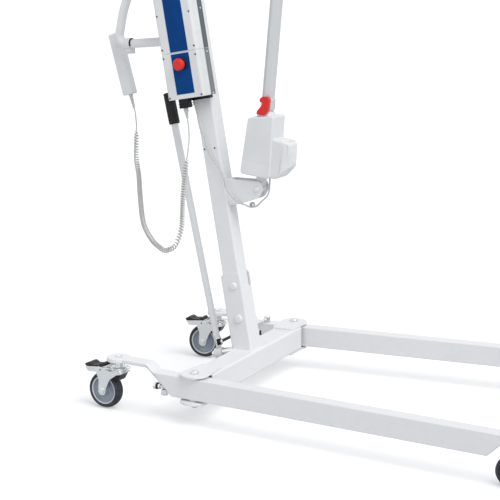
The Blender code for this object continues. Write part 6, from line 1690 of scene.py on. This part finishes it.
class LIFT_OT_lever(Operator):
    """Lever that spreads the legs: rocker, hub and tapered tube, with its ribbed black grip"""
    bl_idname = "lift.lever"
    bl_label = "Spread lever"

    def execute(self, context):
        sizes = context.scene.lift_sizes
        rocker = slab(mm((-10.5, -43.7, 10), (10.5, -43.7, 10), (10.5, 56, 4), (-10.5, 56, 4)), "XZ",
            -0.003, 0.003, 8)
        soften(rocker, sizes.plate_edge)
        carve(rocker, stick((0, -0.05, 0), (0, 0.05, 0), 0.0064))
        hub = turned(paired(mm((6.2, -12), (14.4, -12, 0.8), (15, -10.8))), 48, TO_REAR, True)
        tube = turned([(0, 0.044), (0.0084, 0.044, 0.0008), (0.009, 0.046), (0.0105, GRIP_FROM + 0.02),
            (0, GRIP_FROM + 0.02)])
        pins, clips = [], []
        for z, k in ((EYE_LEFT, 1), (EYE_RIGHT, -1)):
            place = at(0, 0, z, k * pi / 2, "X")
            pins.append(turned(mm((0, -1), (4, -1), (4, 13.8), (3.4, 14.8, 0.3), (0, 14.8)), 24, place))
            clips.append(washer(0.0062, 0.0124, 0.0132, 0.0038, place))
        seam = bead(seam_ring(Vector((0, 0, 0.056)), (0, 0, 1), 0.0092, (0, 0, 1)), 0.0012, True)
        done("spread_lever", [hub, tube, seam], LEVER, "lever", "weld_paint")
        done("lever_rocker", [rocker, *pins, *clips], LEVER, "lever", "zinc", "spread_lever")
        steps = sizes.grip_ribs * 6
        grip = turned([(0.0106, GRIP_FROM + 0.0205), (0.0106, GRIP_FROM), (0.0138, GRIP_FROM, 0.001),
            (0.0155, GRIP_FROM + 0.0035, 0.0015), (0.0155, GRIP_FROM + 0.01), (0.0155, GRIP_TO - 0.006),
            (0.0155, GRIP_TO - 0.0014, 0.0012), (0.0142, GRIP_TO - 0.0002, 0.0008), (0, GRIP_TO - 0.0002)],
            steps)
        choose_faces(grip, lambda c, n: GRIP_FROM + 0.011 < c.z < GRIP_TO - 0.007 and hypot(n.x, n.y) > 0.9
            and round((degrees(atan2(c.y, c.x)) % 360) / (360 / steps) - 0.5) % 6 in (0, 1))
        bpy.ops.transform.shrink_fatten(value=-0.0013)
        leave()
        done("lever_grip", soften(grip, 0.0003, 1, 50), LEVER, "lever", "grip_rubber_and_painted_shadow", smooth=40)
        self.bracket()
        return {"FINISHED"}

    def bracket(self):
        """Bracket on the beam's back with two bolts, its boss and the stud that the lever turns on."""
        back = BEAM_REAR + SEAT
        plate = soften(slab(oblong(-0.03, 0.0735, 0.03, 0.1275, 0.006), "XZ", back, back + 0.005), 0.0008)
        centre, hub = Vector((0, LEVER_Y, LEVER_HIGH)), 0.0123
        start = centre - LEVER_OUT * ((LEVER_Y - back - 0.0035) / cos(LEVER_LEAN))
        length = (centre - LEVER_OUT * hub - start).length
        boss = turned([(0, 0), (0.011, 0), (0.011, length - 0.001), (0.0102, length, 0.0004), (0, length)],
            40, facing(start, LEVER_OUT))
        stud = turned([(0, -hub - 0.004), (0.006, -hub - 0.004), (0.006, hub + 0.0102),
            (0.0052, hub + 0.011, 0.0003), (0, hub + 0.011)], 32, facing(centre, LEVER_OUT))
        nut = bolt_head(0.017, 0.0056, facing(centre + LEVER_OUT * (hub + 0.0013), LEVER_OUT))
        seat = washer(0.011, 0, 0.0012, 0.006, facing(centre + LEVER_OUT * (hub + 0.0001), LEVER_OUT))
        bolts = [bolt_head(0.01, 0.0042, at(x, back + 0.0049, z) @ TO_REAR, 0.0068)
            for x in (-0.0215, 0.0215) for z in (0.082, 0.119)]
        done("lever_bracket", [plate, boss, stud, nut, seat, *bolts], LIFT, "base", "zinc")


class LIFT_OT_tie_rods(Operator):
    """Tie rods: a black sleeve with an eye on a rocker pin, a zinc rod, two nuts and a cup over a ball"""
    bl_idname = "lift.tie_rods"
    bl_label = "Tie rods"

    def execute(self, context):
        for name, height, k, ball in (("left", EYE_LEFT, -1, (0, 0.085, 0.1365)),
                ("right", EYE_RIGHT, 1, (0, 0.095, 0.0735))):
            eye = LEVER @ Vector((0, 0, height)) + LEVER_OUT * (k * 0.0078)
            cup = LEG[name] @ Vector(ball)
            way, length = (cup - eye).normalized(), (cup - eye).length
            split, place = length * 0.42, facing(eye, way)
            rod = turned([(0, 0.007), (0.0046, 0.007), (0.0052, 0.012, 0.001), (0.0044, 0.016),
                (0.0044, split, 0.0008), (0, split)], 36, place)
            outer = turned([(0, split - 0.004), (0.0034, split - 0.004), (0.0034, length - 0.02),
                (0.0046, length - 0.018, 0.001), (0.0046, length - 0.01), (0.0042, length - 0.008),
                (0, length - 0.008)], 36, place)
            nuts = [bolt_head(0.0085, 0.004, facing(eye + way * along, way))
                for along in (split + 0.0002, length - 0.024)]
            loop = turned(paired(mm((4.2, -4.5), (8.4, -4.5, 0.6), (9, -3.6))), 40, facing(eye, LEVER_OUT),
                True)
            roof, rim = -k * 0.007, k * 0.0065
            socket = turned([(0, roof), (0.0072, roof), (0.0072, rim), (0.009, rim, 0.0004),
                (0.0094, rim - k * 0.001), (0.0094, roof - k * 0.001, 0.0008),
                (0.0084, roof - k * 0.0022, 0.0004), (0, roof - k * 0.0022)], 40, Matrix.Translation(cup))
            done(f"tie_rod_{name}", [rod, loop], None, f"tie_{name}", "black_plastic")
            done(f"tie_cup_{name}", [outer, socket, *nuts], None, f"tie_{name}", "zinc", f"tie_rod_{name}")
        return {"FINISHED"}


class LIFT_OT_handset(Operator):
    """Handset with its parting line, button wells, hook over the handle, and ribbed strain relief"""
    bl_idname = "lift.handset"
    bl_label = "Handset"

    def execute(self, context):
        body = slab(mm((-16, 0, 5), (18, 0, 5), (17, 176, 5), (-17, 176, 5)), "YZ", -0.015, 0.014, 9)
        soften(body, 0.004, 4, 50, False)
        seam_line(body, block((-0.0003, -0.03, -0.02), (0.0003, 0.03, 0.2)), (0, 0, 0.088), 0.976)
        carve(body, *[stick((0.007, 0, t), (0.025, 0, t), 0.0093, steps=48) for t in BUTTONS.values()])
        frames = [turned(mm((9.4, -0.2), (12.2, -0.2), (12, 0.6, 0.3), (9.8, 0.7, 0.2), (9.4, 0.4)), 48,
            at(0.014, 0, t) @ TO_RIGHT, True) for t in BUTTONS.values()]
        done("handset_body", [body, *frames], HANDSET, "base", "housing_plastic")
        for name, turn in (("up", pi / 2), ("down", 3 * pi / 2)):
            button = turned(mm((0, -4.2), (9, -4.2), (9, 0.6, 0.6), (8, 1.9, 0.8), (4, 1.4, 4), (0, 1.3)))
            arrow = slab(mm((-3, -1.8, 0.4), (3, -1.8, 0.4), (0, 3.2, 0.4)), "XY", 0.0009, 0.002)
            done(f"handset_button_{name}", [button, placed(arrow, Matrix.Rotation(turn, 4, "Z"))],
                HANDSET @ at(0.014, 0, BUTTONS[name]) @ TO_RIGHT, f"button_{name}", "slate_plastic")
        profile = mm((0, -0.3), (6.2, -0.3), (6, -5, 0.6))
        for k in range(8):
            t, radius = 0.0062 + 0.004 * k, 0.0056 - 0.00024 * k
            profile += [(radius - 0.001, -t), (radius - 0.001, -t - 0.001), (radius, -t - 0.0014),
                (radius, -t - 0.0034)]
        profile += [(0.0034, -0.0388), (0.0033, -RELIEF_LENGTH), (0, -RELIEF_LENGTH)]
        done("handset_relief", turned(profile, 36, HANDSET), None, "base", "cord_plastic")
        self.hook()
        return {"FINISHED"}

    def hook(self):
        """Hook that goes over the handle's lower tube, with its arm, and a black band inside its ring that
        paints the shadow in the gap between hook and tube.
        """
        low, corner = Vector(HANDLE[0]), Vector(HANDLE[1])
        slope = (corner - low).normalized()
        centre = low + slope * ((0.3605 - low.x) / slope.x)
        place = LIFT @ at(0, centre.x, centre.y, atan2(slope.y, slope.x))
        inner, outer, end, foot = 0.0131, 0.0162, radians(235), -0.028
        arc = [*ring(outer, 46, 0, end), Vector((-0.0125, -0.02)), Vector((-0.011, -0.0215)),
            *ring(inner, 46, end, -end), Vector((inner, foot)), Vector((outer, foot))]
        arm = slab([(0.0, foot, 0.003), (0.066, foot, 0.006), (0.066, -0.008, 0.006), (0.0, -0.008)], "YZ",
            inner + 0.0001, outer + 0.0002)
        shapes = [soften(slab(arc, "XZ", 0.0, 0.016), 0.0006, 2, 50), soften(arm, 0.0006, 2, 50)]
        done("handset_hook", shapes, place, "base", "housing_plastic")
        # A black band along the inside of the hook's ring: painted shadow in the gap between the hook and the
        # tube
        sweep = radians(165)
        band = [*ring(outer - 0.0007, 40, radians(40), sweep), *ring(inner - 0.0003, 40, radians(205),
            -sweep)]
        painted_shadow = soften(slab(band, "XZ", -0.0035, 0.015), 0.0003, 1, 50)
        done("hook_painted_shadow", painted_shadow, place, "base", "grip_rubber_and_painted_shadow", "handset_hook")


OPERATORS = (LIFT_OT_finishes, LIFT_OT_stage, LIFT_OT_cords, LIFT_OT_cross_beam, LIFT_OT_pivot_bolts,
    LIFT_OT_legs, LIFT_OT_leg_stops, LIFT_OT_rear_casters, LIFT_OT_brake_pedals, LIFT_OT_front_casters,
    LIFT_OT_mast_foot, LIFT_OT_mast, LIFT_OT_mast_head, LIFT_OT_handle, LIFT_OT_control_box,
    LIFT_OT_battery, LIFT_OT_stop_button, LIFT_OT_sockets, LIFT_OT_boom, LIFT_OT_spreader, LIFT_OT_actuator,
    LIFT_OT_quick_release, LIFT_OT_actuator_bracket, LIFT_OT_lever, LIFT_OT_tie_rods, LIFT_OT_handset)


class LIFT_PT_pieces(Panel):
    """Lists the lift's pieces"""
    bl_idname = "LIFT_PT_pieces"
    bl_label = "Patient Lift"
    bl_space_type = "VIEW_3D"
    bl_region_type = "UI"
    bl_category = "Patient Lift"

    def draw(self, context):
        for step in OPERATORS:
            self.layout.operator(step.bl_idname)
        for group in (context.scene.lift_sizes, context.scene.lift_colours):
            column = self.layout.column()
            for name in group.bl_rna.properties.keys():
                if name not in ("rna_type", "name"):
                    column.prop(group, name)


CLASSES = (LiftSizes, LiftColours, *OPERATORS, LIFT_PT_pieces)


def register():
    """Register the classes and hang the properties on the scene."""
    for item in CLASSES:
        bpy.utils.register_class(item)
    bpy.types.Scene.lift_sizes = PointerProperty(type=LiftSizes)
    bpy.types.Scene.lift_colours = PointerProperty(type=LiftColours)


def unregister():
    """Take the properties and classes away."""
    del bpy.types.Scene.lift_colours
    del bpy.types.Scene.lift_sizes
    for item in reversed(CLASSES):
        bpy.utils.unregister_class(item)


def main():
    """Make every piece in order."""
    register()
    for step in OPERATORS:
        group, name = step.bl_idname.split(".")
        getattr(getattr(bpy.ops, group), name)()
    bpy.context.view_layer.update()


if __name__ == "__main__":
    main()
